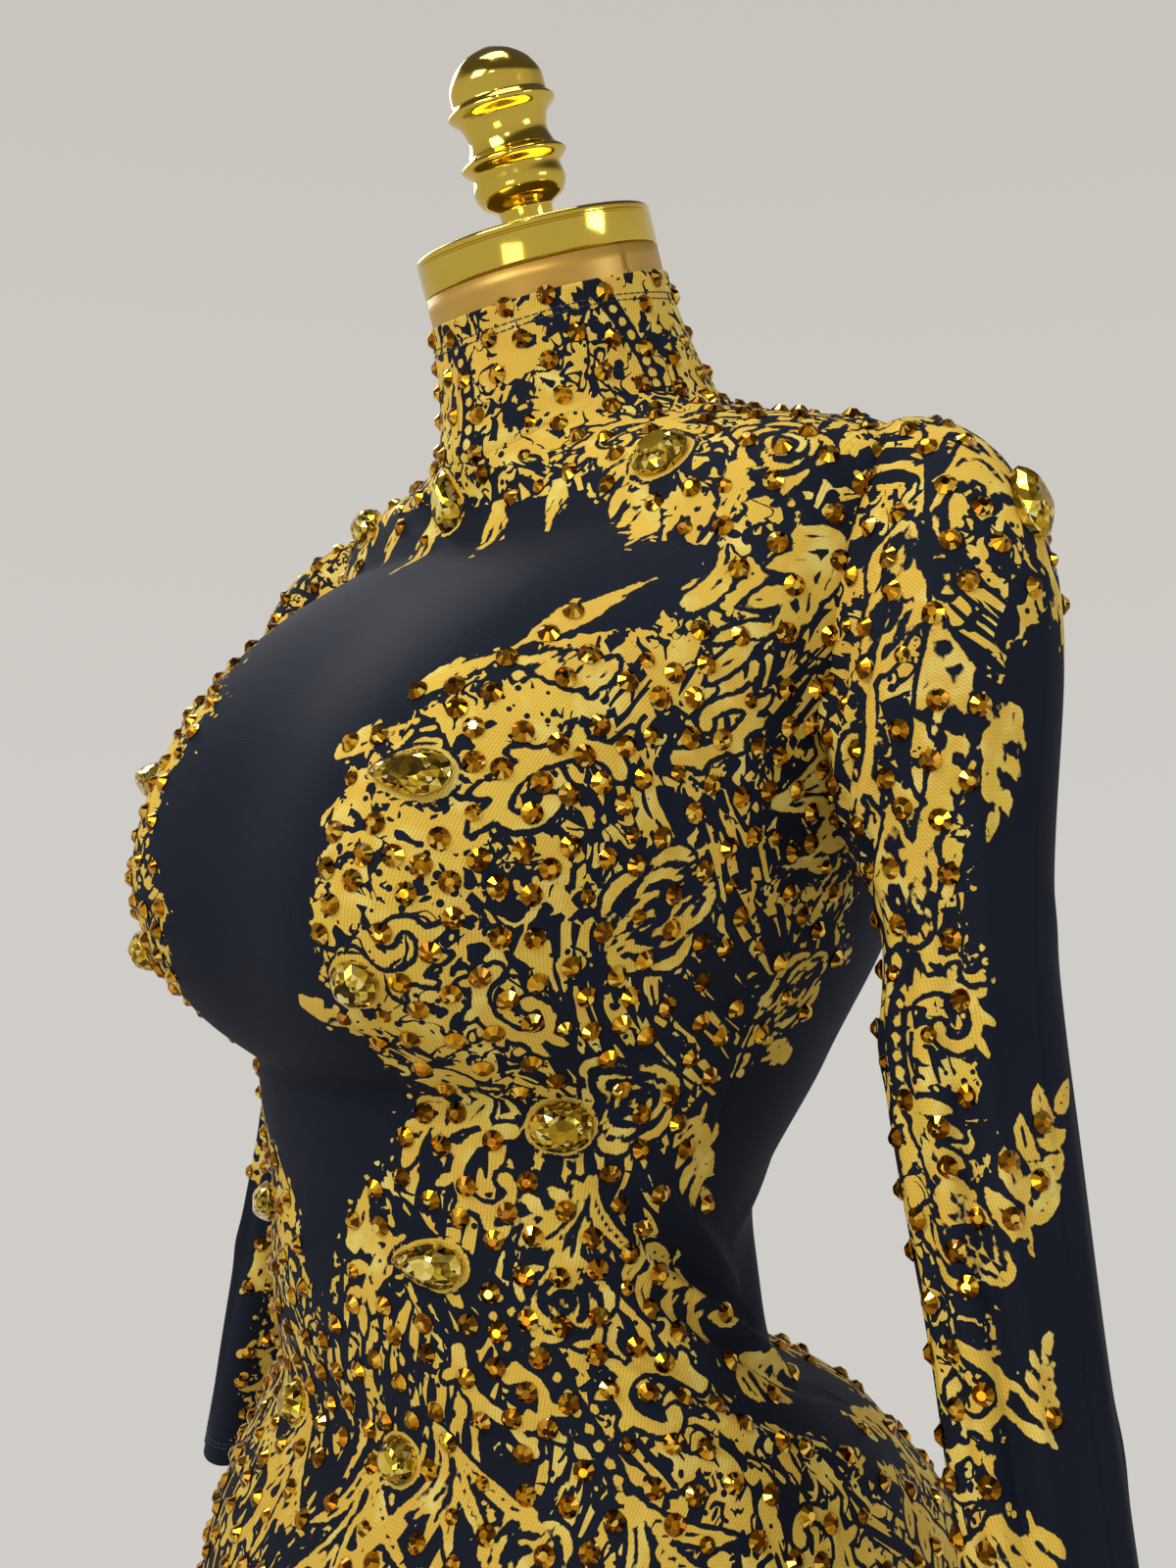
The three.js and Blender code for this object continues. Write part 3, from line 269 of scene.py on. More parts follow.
# ------------------------------------------------------------------ body surface
@dataclass(frozen=True)
class Body:
    """Surface of the worn cloth: level sections, bust cups, a yoke and a collar."""

    sections: Table = field(default_factory=lambda: Table((
        (780, 164, 125, 118, 2, 2.25), (840, 170, 160, 158, 4, 2.25), (900, 165, 154, 160, 6, 2.2),
        (960, 146, 122, 114, 0, 2.15), (1000, 125, 97, 79, -30, 2.1), (1045, 110, 91, 92, -42, 2.1),
        (1110, 120, 112, 127, -28, 2.15), (1175, 138, 104, 151, -16, 2.2),
        (1235, 150, 102, 135, -4, 2.3), (1280, 160, 96, 116, 4, 2.4), (1335, 170, 80, 90, 8, 2.3))))
    cup_x: float = 88
    cup_z: float = 1192
    cup_half: float = 82
    cup_up: float = 130
    cup_down: float = 86
    cup_depth: float = 80
    cup_dip: float = 0.2
    cup_power: float = 0.85
    neck_half: float = 61
    neck_front: float = -75
    neck_back: float = 60
    neck_y: float = 2
    neck_side_z: float = 1391
    neck_front_z: float = 1358
    neck_back_z: float = 1399
    lean: float = 20 * DEG
    collar_radius: float = 54
    collar_y: float = -29
    collar_z: float = 1437

    def cups(self, x: Array, z: Array) -> Array:
        """Returns how far the bust stands in front of the sections."""
        reach = np.where(z > self.cup_z, self.cup_up, self.cup_down)
        dz = (z - self.cup_z) / reach
        outside = np.maximum(0, np.abs(x) - self.cup_x) / self.cup_half
        inward = np.cos(math.pi / 2 * np.minimum(1, np.abs(x) / self.cup_x)) ** 2
        mound = np.maximum(0, 1 - outside ** 2 - dz * dz) ** self.cup_power
        mound = mound * (1 - self.cup_dip * inward)
        soft = 0.06
        joined = soft * np.log(np.exp(mound / soft) + 1)
        return self.cup_depth * np.maximum(0, joined - soft * math.log(2))

    def section(self, angle: Array, z: Array) -> Array:
        """Returns points of the level sections, the largest folds included."""
        half, front, back, cy, power = np.moveaxis(self.sections(z), -1, 0)
        s, c = np.sin(angle), np.cos(angle)
        x = half * signed_power(s, 2 / power)
        y = cy - np.where(c > 0, front, back) * signed_power(c, 2 / power)
        y = y - self.cups(x, z) * np.minimum(1, 1.6 * np.sqrt(np.maximum(c, 0)))
        fold = sum(f.height(angle / DEG, z) for f in MAIN_FOLDS)
        out = 1 + fold / np.maximum(np.hypot(x, y - cy), 1)
        return np.stack([x * out, cy + (y - cy) * out, z + 0 * x], -1)

    def neck(self, angle: Array) -> Array:
        """Returns points of the neck seam."""
        s, c = np.sin(angle), np.cos(angle)
        reach = np.where(c > 0, self.neck_front, self.neck_back)
        rise = np.where(c > 0, self.neck_front_z, self.neck_back_z)
        return np.stack([self.neck_half * s, self.neck_y + (reach - self.neck_y) * np.abs(c),
                         self.neck_side_z + (rise - self.neck_side_z) * c * c], -1)

    def circle(self, angle: Array, radius: float, height: float) -> Array:
        """Returns a circle square to the neck's axis, at a height above the collar's top."""
        ct, st = math.cos(self.lean), math.sin(self.lean)
        c = radius * np.cos(angle)
        return np.stack([radius * np.sin(angle), self.collar_y - c * ct - height * st,
                         self.collar_z - c * st + height * ct], -1)

    def point(self, angle: Array, height: Array) -> Array:
        """Returns surface points; heights above the chest run over the yoke and the collar.

        Args:
            angle: radians from the front, the left side positive.
            height: level, CHEST_TOP to NECK_SEAM on the yoke, then up the collar.
        """
        angle, height = np.broadcast_arrays(np.asarray(angle, float), np.asarray(height, float))
        low = self.section(angle, np.minimum(height, CHEST_TOP))
        if not (height > CHEST_TOP).any():
            return low
        top = self.section(angle, np.full_like(angle, CHEST_TOP))
        under = self.section(angle, np.full_like(angle, CHEST_TOP - 3))
        seam = self.neck(angle)
        edge = self.circle(angle, self.collar_radius, 0)
        inward = unit((seam - top) * np.array((1, 1, 0.15)))
        up = unit(edge - seam)
        span = length(seam - top)
        yoke = cubic(top, unit(top - under) * span, seam,
                     unit(0.55 * up + 0.45 * inward) * 0.75 * span,
                     np.clip((height - CHEST_TOP) / YOKE_RISE, 0, 1))
        tall = length(edge - seam)
        axis = np.array((0, -math.sin(self.lean), math.cos(self.lean)))
        collar = cubic(seam, unit(0.75 * up + 0.25 * inward) * 0.8 * tall, edge, axis * 0.9 * tall,
                       np.clip((height - NECK_SEAM) / COLLAR_RISE, 0, 1))
        height = height[..., None]
        return np.where(height <= CHEST_TOP, low, np.where(height <= NECK_SEAM, yoke, collar))

    def nearest(self, target: Array, angle: float, height: float) -> Pair:
        """Returns the angles and heights of the surface points nearest to some points.

        Args:
            target: the points, in millimetres.
            angle: where the search starts.
            height: where the search starts.
        """
        a, h = np.full(len(target), float(angle)), np.full(len(target), float(height))
        for _ in range(6):
            here = self.point(a, h)
            da = (self.point(a + 1e-3, h) - here) / 1e-3
            dh = (self.point(a, h + 0.1) - here) / 0.1
            gap = target - here
            aa, hh, ah = (da * da).sum(-1), (dh * dh).sum(-1), (da * dh).sum(-1)
            ga, gh = (da * gap).sum(-1), (dh * gap).sum(-1)
            det = np.maximum(aa * hh - ah * ah, 1e-6)
            a = a + np.clip((ga * hh - gh * ah) / det, -0.15, 0.15)
            h = h + np.clip((gh * aa - ga * ah) / det, -12, 12)
        return a, h


@dataclass(frozen=True)
class Armhole:
    """Seam of the sleeve on the trunk; its turn is 0 at the shoulder tip and pi underneath."""

    top: float = CHEST_TOP + 0.24 * YOKE_RISE
    bottom: float = 1220
    reach: float = 0.25
    lean: float = 0.16

    def place(self, turn: Array) -> Pair:
        """Returns the angle and the height of the seam at the turns."""
        middle, half = (self.top + self.bottom) / 2, (self.top - self.bottom) / 2
        angle = math.pi / 2 - self.reach * np.sin(turn) + self.lean * (1 - np.cos(turn)) / 2
        return angle, middle + half * np.cos(turn)

    def side(self, height: Array, edge: int) -> Array:
        """Returns the angle where a panel ends at its side.

        Args:
            height: heights of the rows.
            edge: -1 for the front's edge, +1 for the back's edge.
        """
        middle, half = (self.top + self.bottom) / 2, (self.top - self.bottom) / 2
        cosine = np.clip((height - middle) / half, -1, 1)
        hole = math.pi / 2 + edge * self.reach * np.sqrt(1 - cosine ** 2) + self.lean * (1 - cosine) / 2
        drop = np.clip((height - 1100) / (self.bottom - 1100), 0, 1)
        below = math.pi / 2 + self.lean * drop * drop
        return np.where(height < self.bottom, below, np.where(height > self.top, math.pi / 2, hole))


THE_BODY = Body()
ARMHOLE = Armhole()


def tangents(here: Array, beside: Array, above: Array) -> tuple[Array, Array, Array]:
    """Returns the across, up and outward directions at a place, from two close neighbours."""
    across = unit(beside - here)
    normal = unit(np.cross(across, above - here))
    return across, np.cross(normal, across), normal


@dataclass(frozen=True)
class SleeveForm:
    """Hanging sleeve, written as on the left side; place is 0 armhole, 1 first section, 2 cuff."""

    side: int
    head: tuple[float, float, float, float, float, float, float]
    rows: tuple[tuple[float, ...], ...]
    ground: Table
    flat: float = 50 * DEG

    def section(self, turn: Array, z: Array) -> Array:
        """Returns points of the level sections."""
        x, y, long, short, power = np.moveaxis(Table(self.rows)(z), -1, 0)
        a = long * signed_power(np.cos(turn + self.flat), 2 / power)
        b = short * signed_power(np.sin(turn + self.flat), 2 / power)
        return np.stack([x + a * math.cos(self.flat) + b * math.sin(self.flat),
                         y + a * math.sin(self.flat) - b * math.cos(self.flat), z + 0 * a], -1)

    def point(self, turn: Array, place: Array) -> Array:
        """Returns surface points at the turns and places, on the sleeve's own side."""
        turn, place = np.broadcast_arrays(np.asarray(turn, float), np.asarray(place, float))
        first = self.rows[0][0]
        low = self.section(turn, first + (CUFF - first) * np.clip(place - 1, 0, 1))
        start = THE_BODY.point(*ARMHOLE.place(turn))
        x, y, half_x, half_y, top, bottom, lift = self.head
        c, s = np.cos(turn), np.sin(turn)
        middle = np.stack([x + half_x * c, y - half_y * s,
                           (top + bottom) / 2 + (top - bottom) / 2 * c], -1)
        end = self.section(turn, np.full_like(turn, first))
        across = (end - start) * 0.5
        leaving = np.stack([np.ones_like(c), -0.45 * s, lift * c - 0.175 * (1 - c)], -1)
        leaving = unit(leaving) * 1.25 * length(middle - start)
        falling = np.array((0.12, 0, -1)) * length(end - middle)
        upper = cubic(start, leaving, middle, across, np.clip(2 * place, 0, 1))
        lower = cubic(middle, across, end, falling, np.clip(2 * place - 1, 0, 1))
        place = place[..., None]
        out = np.where(place <= 0.5, upper, np.where(place <= 1, lower, low))
        return out * np.array((self.side, 1, 1))


@dataclass(frozen=True)
class LegForm:
    """Empty trouser leg below the crotch, written as on the left side."""

    rows: Table = field(default_factory=lambda: Table((
        (705, 84, 2, 76, 96, 2.2), (640, 89, 4, 69, 82, 2.1), (500, 93, 6, 55, 65, 2),
        (360, 96, 4, 48, 58, 2), (230, 99, 2, 41, 50, 2), (HEM, 102, 0, 36, 45, 2))))
    front_turn: float = 50
    top: float = 705
    pull: float = 60
    inseam_y: float = 4
    sag: float = 8
    inner: int = 14
    folds: tuple[tuple[float, float, float, float, float], ...] = (
        (20, 22, -9, 700, 210), (75, 24, 6, 640, 130), (160, 24, -8, 690, 260), (290, 22, -6, 600, 150))
    fine: tuple[tuple[float, float, float, float, float], ...] = (
        (48, 10, 2.2, 560, 180), (110, 9, -2.0, 600, 120), (200, 10, 2.0, 520, 160),
        (250, 9, 1.8, 640, 240), (330, 10, 2.0, 660, 300), (130, 8, 1.6, 420, 110))

    def section(self, turn: Array, z: Array) -> Array:
        """Returns points of the level sections at turns in degrees."""
        x, y, half_x, half_y, power = np.moveaxis(self.rows(z), -1, 0)
        fold = np.zeros_like(half_x + turn)
        for at, width, depth, upper, lower in self.folds + self.fine:
            off = ((turn - at + 540) % 360 - 180) / width
            share = np.clip((upper - z) / (upper - lower), 0, 1)
            fold = fold + depth * np.exp(-off * off) * np.sin(math.pi * share) ** 0.6
        s, c = np.sin(turn * DEG), np.cos(turn * DEG)
        return np.stack([x + (half_x + fold) * signed_power(s, 2 / power),
                         y - (half_y + fold) * signed_power(c, 2 / power), z + 0 * fold], -1)


# ------------------------------------------------------------------ print
class Layer(Enum):
    """Fields of the print: signed distances in millimetres, negative inside, and the dark share."""

    ZONE = "zone"
    INK = "ink"
    GILT = "gilt"
    LINE = "line"
    SHADE = "shade"


@dataclass
class Stroke:
    """Brush stroke: points in millimetres, a radius at each, and the layer it is in."""

    points: Array
    radii: Array
    layer: Layer


DAB_STEP = 1.3      # mm between the dabs of a stroke


def stroke(points: Array, radii: Array | float, layer: Layer) -> Stroke:
    """Returns a stroke resampled to even steps."""
    points = np.asarray(points, float)
    run = run_along(points)
    at = np.linspace(0, run[-1], max(2, int(run[-1] / DAB_STEP) + 1))
    radii = np.broadcast_to(radii, len(points))
    return Stroke(read_along(at, run, points), np.interp(at, run, radii), layer)


class Canvas:
    """Grid of cloth points that carries the layers of the print."""

    reach = 4           # grid steps that a dab may spread over
    plain_shade = 0.6

    def __init__(self, points: Array, locate: Callable, wrap: bool = False) -> None:
        """Keeps the grid and starts with bare cloth.

        Args:
            points: rows by columns by three, in millimetres.
            locate: gives row and column, as fractions, for an angle and a height.
            wrap: whether the last column joins the first one.
        """
        self.points = points
        self.locate = locate
        self.wrap = wrap
        self.normals = ring_normals(points) if wrap else grid_normals(points)
        shape = points.shape[:2]
        self.layers = {layer: np.full(shape, FAR) for layer in Layer}
        self.layers[Layer.SHADE] = np.full(shape, self.plain_shade)

    def at(self, row: Array, column: Array, values: Array) -> Array:
        """Returns grid values between the grid's points."""
        rows, columns = self.points.shape[:2]
        row = np.clip(row, 0, rows - 1.001)
        column = column % columns if self.wrap else np.clip(column, 0, columns - 1.001)
        i, j = row.astype(int), column.astype(int)
        a, b = (row - i)[:, None], (column - j)[:, None]
        k = (j + 1) % columns
        return ((1 - a) * (1 - b) * values[i, j] + (1 - a) * b * values[i, k]
                + a * (1 - b) * values[i + 1, j] + a * b * values[i + 1, k])

    def paint(self, angle: Array, height: Array, radii: Array, layer: Layer) -> None:
        """Puts round dabs of a layer at angles and heights."""
        row, column = self.locate(angle, height)
        rows, columns = self.points.shape[:2]
        inside = (row > -self.reach) & (row < rows + self.reach)
        if not self.wrap:
            inside &= (column > -self.reach) & (column < columns + self.reach)
        row, column, radii = row[inside], column[inside], radii[inside]
        if not len(row):
            return
        centre = self.at(row, column, self.points)
        span = np.arange(-self.reach, self.reach + 1)
        i = np.rint(row).astype(int)[:, None, None] + span[None, :, None]
        j = np.rint(column).astype(int)[:, None, None] + span[None, None, :]
        i, j = np.broadcast_arrays(i, j)
        if self.wrap:
            j = j % columns
        valid = (i >= 0) & (i < rows) & (j >= 0) & (j < columns)
        which = np.broadcast_to(np.arange(len(row))[:, None, None], i.shape)[valid]
        i, j = i[valid], j[valid]
        away = np.linalg.norm(self.points[i, j] - centre[which], axis=1) - radii[which]
        np.minimum.at(self.layers[layer], (i, j), away)


@dataclass(frozen=True)
class Motif:
    """Ornament that is drawn with strokes round its own middle."""

    size: float
    outlined: ClassVar[bool] = True

    def strokes(self, rng: np.random.Generator) -> list[Stroke]:
        """Returns the ornament's strokes."""
        raise NotImplementedError


def arc(radius: float, start: float, end: float, bulge: float = 0.0) -> Array:
    """Returns an arc round the middle whose radius swells by bulge half way."""
    t = np.linspace(0, 1, 18)
    a = start + (end - start) * t
    return polar(radius * (1 + bulge * np.sin(math.pi * t)), a)


@dataclass(frozen=True)
class Rose(Motif):
    """Rose seen from the front: rings of gold petals with dark gaps between them."""

    def strokes(self, rng: np.random.Generator) -> list[Stroke]:
        """Returns a dark ground, the petals and a curled heart."""
        out = [stroke(arc(self.size * r, 0, 2 * math.pi), self.size * 0.2, Layer.INK)
               for r in (0.15, 0.45, 0.75, 0.95)]
        for ring, count, thick in ((0.36, 2, 0.085), (0.64, 3, 0.1), (0.95, 5, 0.125)):
            phase = rng.uniform(0, 6.3)
            for i in range(count):
                a = phase + 2 * math.pi * i / count
                line = arc(self.size * ring, a, a + 2 * math.pi / count * 0.84, 0.16)
                width = self.size * thick * np.sin(math.pi * np.linspace(0.06, 0.94, len(line))) ** 0.6
                out.append(stroke(line, width, Layer.GILT))
        t = np.linspace(0, 1, 12)
        curl = polar(t, 5 * t) * self.size * 0.14
        return out + [stroke(curl, self.size * 0.06, Layer.GILT)]


def leaf(base: Array, turn: float, size: float, bend: float, veins: bool = True) -> list[Stroke]:
    """Returns a pointed leaf with a midrib, from its base."""
    t = np.linspace(0, 1, 16)
    a = turn + bend * (t - 0.3)
    spine = base + walk(a, size)
    width = size * 0.19 * np.sin(math.pi * t ** 0.8) ** 0.9 + 0.2
    out = [stroke(spine, width, Layer.GILT)]
    if veins and size > 15:
        out.append(stroke(spine[4:12], 0.8, Layer.LINE))
    return out


@dataclass(frozen=True)
class Spray(Motif):
    """Curved stem with leaves on both sides."""

    leaves: int = 7

    def strokes(self, rng: np.random.Generator) -> list[Stroke]:
        """Returns stem and leaves."""
        t = np.linspace(0, 1, 24)
        a = math.pi / 2 + 0.9 * (t - 0.5)
        stem = walk(a, self.size)
        stem -= stem.mean(0)
        out = [stroke(stem, 1.3 - 0.4 * t, Layer.GILT)]
        for k in range(self.leaves):
            i = int(3 + 20 * k / self.leaves)
            side = 1 if k % 2 else -1
            size = self.size * (0.42 - 0.02 * k) * rng.uniform(0.85, 1.1)
            out += leaf(stem[i], a[i] + side * rng.uniform(0.65, 0.95), size, -side * 0.6)
        return out + leaf(stem[-1], a[-1], self.size * 0.34, 0.3)


@dataclass(frozen=True)
class Scroll(Motif):
    """Volute that rolls in, with small leaves outside."""

    def strokes(self, rng: np.random.Generator) -> list[Stroke]:
        """Returns the band, its end and the leaves."""
        t = np.linspace(0, 1, 60)
        a, r = 5.4 * t, self.size * (1 - 0.84 * t)
        line = polar(r, a)
        band = self.size * 0.085 * (1.2 - 0.6 * t) + 0.8
        out = [stroke(line, self.size * 0.2, Layer.INK), stroke(line, band, Layer.GILT)]
        for k in range(5):
            i = 4 + 7 * k
            out += leaf(line[i], a[i] + rng.uniform(0.35, 0.65), self.size * 0.5, 0.7, k % 2 == 0)
        end = line[-1]
        return out + [stroke(np.array([end, end + 0.3]), self.size * 0.1 + 0.9, Layer.GILT)]


@dataclass(frozen=True)
class Fan(Motif):
    """Long feather strokes that spread from a foot."""

    count: int = 6
    spread: float = 1.2

    def strokes(self, rng: np.random.Generator) -> list[Stroke]:
        """Returns the feathers."""
        out = []
        for k in range(self.count):
            lean = (k / (self.count - 1) - 0.5) * self.spread
            size = self.size * rng.uniform(0.75, 1.05)
            t = np.linspace(0, 1, 20)
            a = math.pi / 2 + lean * (0.5 + t) + 0.25 * np.sin(4 * t + k)
            line = walk(a, size)
            out.append(stroke(line[2:], 0.8 + 2.1 * np.sin(math.pi * t[2:] ** 1.3), Layer.GILT))
            out.append(stroke(line[6:-4], 0.9, Layer.LINE))
        return out


@dataclass(frozen=True)
class Drip(Motif):
    """Gold that runs down in wavy tongues and ends in drops."""

    outlined: ClassVar[bool] = False

    def strokes(self, rng: np.random.Generator) -> list[Stroke]:
        """Returns tongues and drops."""
        out = []
        for k in range(3):
            t = np.linspace(0, 1, 16)
            reach = self.size * (1.0, 0.62, 0.45)[k]
            x = (0, -0.16, 0.17)[k] * self.size + 0.05 * self.size * np.sin(5 * t + 2 * k)
            line = np.stack([x * (0.4 + 0.6 * t), 0.2 * self.size - reach * t], 1)
            out.append(stroke(line, 2.6 - 1.5 * t, Layer.GILT))
            foot = line[-1] + (0.4, -3.6)
            out.append(stroke(np.array([foot, foot + 0.3]), 1.5, Layer.GILT))
        return out


@dataclass(frozen=True)
class Beads(Motif):
    """Curved dark band with a row of gold beads on it."""

    spacing: ClassVar[float] = 6.2

    def strokes(self, rng: np.random.Generator) -> list[Stroke]:
        """Returns band and beads."""
        t = np.linspace(0, 1, 30)
        a = math.pi / 2 + 1.0 * (t - 0.5)
        line = walk(a, self.size)
        line -= line.mean(0)
        out = [stroke(line, 4.4, Layer.INK)]
        for k in range(int(self.size / self.spacing)):
            p = line[min(29, int(30 * k * self.spacing / self.size))]
            radius = 2.1 - 0.6 * k * self.spacing / self.size
            out.append(stroke(np.array([p, p + 0.1]), radius, Layer.GILT))
        return out


@dataclass(frozen=True)
class Halo(Motif):
    """Gold ground and a dark ring under a large stone, size being its longer half."""

    ratio: float = 1.0
    point: float = 0.0
    outlined: ClassVar[bool] = False

    def strokes(self, rng: np.random.Generator) -> list[Stroke]:
        """Returns ground and ring."""
        t = np.linspace(0, 2 * math.pi, 48)
        taper = 1 - self.point * ((1 + np.cos(t)) / 2) ** 1.5
        out = []
        for grow, layer, radius in ((0.0, Layer.GILT, 1.7), (2.6, Layer.LINE, 0.9)):
            ring = np.stack([(self.size + grow) * np.cos(t),
                             (self.size * self.ratio * taper + grow) * np.sin(t)], 1)
            out.append(stroke(ring, radius, layer))
        return out


def place_motifs(groups: dict[type[Motif], tuple[tuple[float, ...], ...]]) -> tuple[tuple, ...]:
    """Returns each motif with its place and turn, from the sizes, places and turns of each kind."""
    return tuple((kind(size), *place) for kind, rows in groups.items() for size, *place in rows)


# Ornaments of the trunk: size, degrees from the front, height, turn in degrees; both sides get them.
TRUNK_MOTIFS = place_motifs({
    Rose: (
        (20, 77, 1176, 0), (16, 70, 1106, 40), (14, 97, 1146, 10), (15, 60, 1034, 0),
        (19, 100, 1392, 0), (15, 60, 1352, 30), (15, 38, 946, 0), (20, 150, 1300, 0),
        (18, 122, 905, 0), (15, 168, 1385, 0), (17, 64, 900, 0), (18, 158, 1150, 0)),
    Scroll: (
        (24, 58, 1214, 30), (17, 44, 1166, 200), (19, 62, 1142, 120), (19, 72, 1244, 260),
        (20, 46, 1076, 80), (21, 44, 1004, 150), (22, 72, 996, 20), (24, 18, 925, 100),
        (22, 84, 948, 210), (20, 78, 1392, 140), (18, 40, 1398, 60), (22, 128, 1372, 20),
        (24, 134, 945, 120), (20, 168, 1240, 60), (24, 165, 905, 10), (22, 44, 860, 40),
        (24, 96, 868, 190), (22, 142, 850, 80)),
    Spray: (
        (52, 72, 1296, 150), (44, 30, 1346, 190), (34, 50, 1258, 60), (44, 38, 1104, 120),
        (40, 92, 1206, 330), (40, 88, 1086, 200), (46, 106, 1000, 250), (42, 122, 968, 230),
        (48, 84, 1040, 215), (40, 18, 1040, 140), (36, 58, 1066, 100), (50, 146, 1352, 150),
        (48, 168, 1330, 180), (50, 118, 1290, 30), (50, 112, 930, 190), (46, 150, 1200, 300),
        (46, 168, 1090, 180), (50, 148, 990, 160)),
    Fan: (
        (62, 24, 990, 185), (58, 9, 972, 178), (50, 84, 1214, 290), (44, 66, 1084, 170),
        (52, 54, 972, 200), (46, 80, 1336, 200), (50, 108, 1350, 160), (60, 30, 892, 180),
        (56, 10, 880, 176), (52, 80, 905, 170), (50, 160, 965, 180)),
    Beads: (
        (96, 52, 1000, 8), (70, 44, 1010, 0), (60, 64, 1318, 30), (60, 90, 1140, 20),
        (60, 34, 924, 160), (50, 92, 1372, 60), (70, 140, 1320, 20), (70, 104, 900, 30)),
    Drip: (
        (34, 6, 1332, 12), (26, 36, 1322, -8), (22, 50, 1336, 6), (24, 17, 1346, 4),
        (36, 42, 1276, 160), (40, 54, 1290, 195), (28, 32, 1254, 135), (26, 25, 1232, 115),
        (26, 24, 1140, 70), (26, 12, 1050, 160), (24, 100, 1120, 250), (26, 100, 1226, 290))})

# Degrees of the bead bands on the collar.
COLLAR_BEADS = (-142, -62, 4, 76, 148)
# Ornaments of a leg: motif, height, turn in degrees, turn of the motif.
LEG_MOTIFS: tuple[tuple[Motif, float, float, float], ...] = (
    (Spray(44), 700, 70, 160), (Spray(44), 640, 110, 100), (Scroll(18), 560, 84, 20),
    (Rose(14), 470, 102, 110), (Spray(44), 380, 88, 20), (Scroll(18), 290, 100, 110),
    (Rose(14), 200, 90, 20))
LEG_RADIUS = 62.0   # mm to a radian

# Gold ground of the trunk: height, first and last degree from the front.
GROUND_FRONT = Table((
    (770, 52, 52, 140), (800, 38, 38, 140), (822, 18, 18, 136), (840, 0, 0, 132), (900, 0, 0, 128),
    (940, 0, 0, 118), (968, 0, 0, 104), (990, 0, 0, 88), (1024, 3, 3, 84), (1040, 7, 7, 84),
    (1060, 13, 15, 82), (1084, 24, 27, 80), (1098, 27, 31, 82), (1112, 31, 33, 88),
    (1130, 29, 26, 100), (1150, 31, 19, 106), (1172, 29, 17, 104), (1194, 29, 20, 98),
    (1212, 28, 23, 96), (1234, 31, 21, 92), (1252, 36, 20, 92), (1266, 39, 24, 92),
    (1278, 54, 27, 92), (1290, 57, 30, 92), (1304, 53, 34, 92), (1318, 33, 38, 100),
    (1332, 25, 43, 116), (1342, 14, 45, 130), (1354, 5, 46, 150), (1366, 0, 36, 176),
    (1378, 0, 8, 186), (1388, 0, 0, 190), (1600, 0, 0, 190)))
GROUND_BACK = Table((
    (770, 80, 80, 138), (800, 84, 84, 150), (830, 92, 92, 170), (880, 98, 98, 176),
    (930, 108, 108, 172), (960, 126, 126, 170), (984, 150, 150, 171), (1004, 170, 170, 174),
    (1040, 176, 176, 177), (1100, 168, 168, 176), (1150, 154, 154, 174), (1200, 146, 146, 172),
    (1240, 140, 140, 170), (1290, 118, 118, 166), (1320, 104, 104, 168), (1350, 100, 100, 176),
    (1600, 100, 100, 190)))
# Share of dark marks on the gold ground: height, in front and at the sides.
DARK_SHARE = Table((
    (770, 0.8, 0.5), (900, 0.95, 0.5), (975, 1.0, 0.55), (1040, 0.7, 0.9), (1090, 0.85, 1.1),
    (1130, 0.55, 1.1), (1165, 0.22, 0.9), (1240, 0.16, 0.6), (1285, 0.5, 0.55), (1340, 0.6, 0.5),
    (1400, 0.45, 0.45), (1450, 0.3, 0.3), (1510, 0.25, 0.25)))


def ground_distance(table: Table, angle: Array, height: Array, scale: float) -> Array:
    """Returns signed millimetres to the edge of a gold ground, negative inside."""
    left, right, last = np.moveaxis(table(height), -1, 0)
    first = np.where(angle > 0, left, right)
    away = np.abs(angle) / DEG
    return np.maximum(np.where(first <= 0, -FAR, first - away), away - last) * scale


@dataclass(frozen=True)
class StoneCut:
    """Outline and height of a large stone; point narrows its far end into a pear."""

    long: float
    wide: float
    high: float
    point: float = 0.0


PEAR, OVAL, ROUND = StoneCut(30, 20, 8, 0.62), StoneCut(24, 19, 8), StoneCut(18, 18, 8)

# Large stones: name, cut, degrees, height, turn, whether there is one on each side.
STONES: tuple[tuple[str, StoneCut, float, float, float, bool], ...] = (
    ("bust", PEAR, 39, 1222, 180, True), ("under_bust", ROUND, 36, 1151, 0, True),
    ("rib", OVAL, 57, 1098, 0, True), ("waist", PEAR, 31, 1044, 180, True),
    ("hip", ROUND, 14, 966, 0, True), ("chest", OVAL, 37, CHEST_TOP + 0.22 * YOKE_RISE, 20, True),
    ("throat", PEAR, -3, CHEST_TOP + 0.34 * YOKE_RISE, 100, False))
SHOULDER_TURN, SHOULDER_PLACE = 356.0, 0.42


def trunk_stones() -> Iterator[tuple[str, StoneCut, float, float, float]]:
    """Yields the CAD name, cut, degrees, height and turn of each large stone on the trunk."""
    for name, cut, degrees, height, turn, pair in STONES:
        if not pair:
            yield f"stone_{name}", cut, degrees, height, turn
            continue
        yield f"stone_{name}_left", cut, degrees, height, turn
        yield f"stone_{name}_right", cut, -degrees, height, 180 - turn


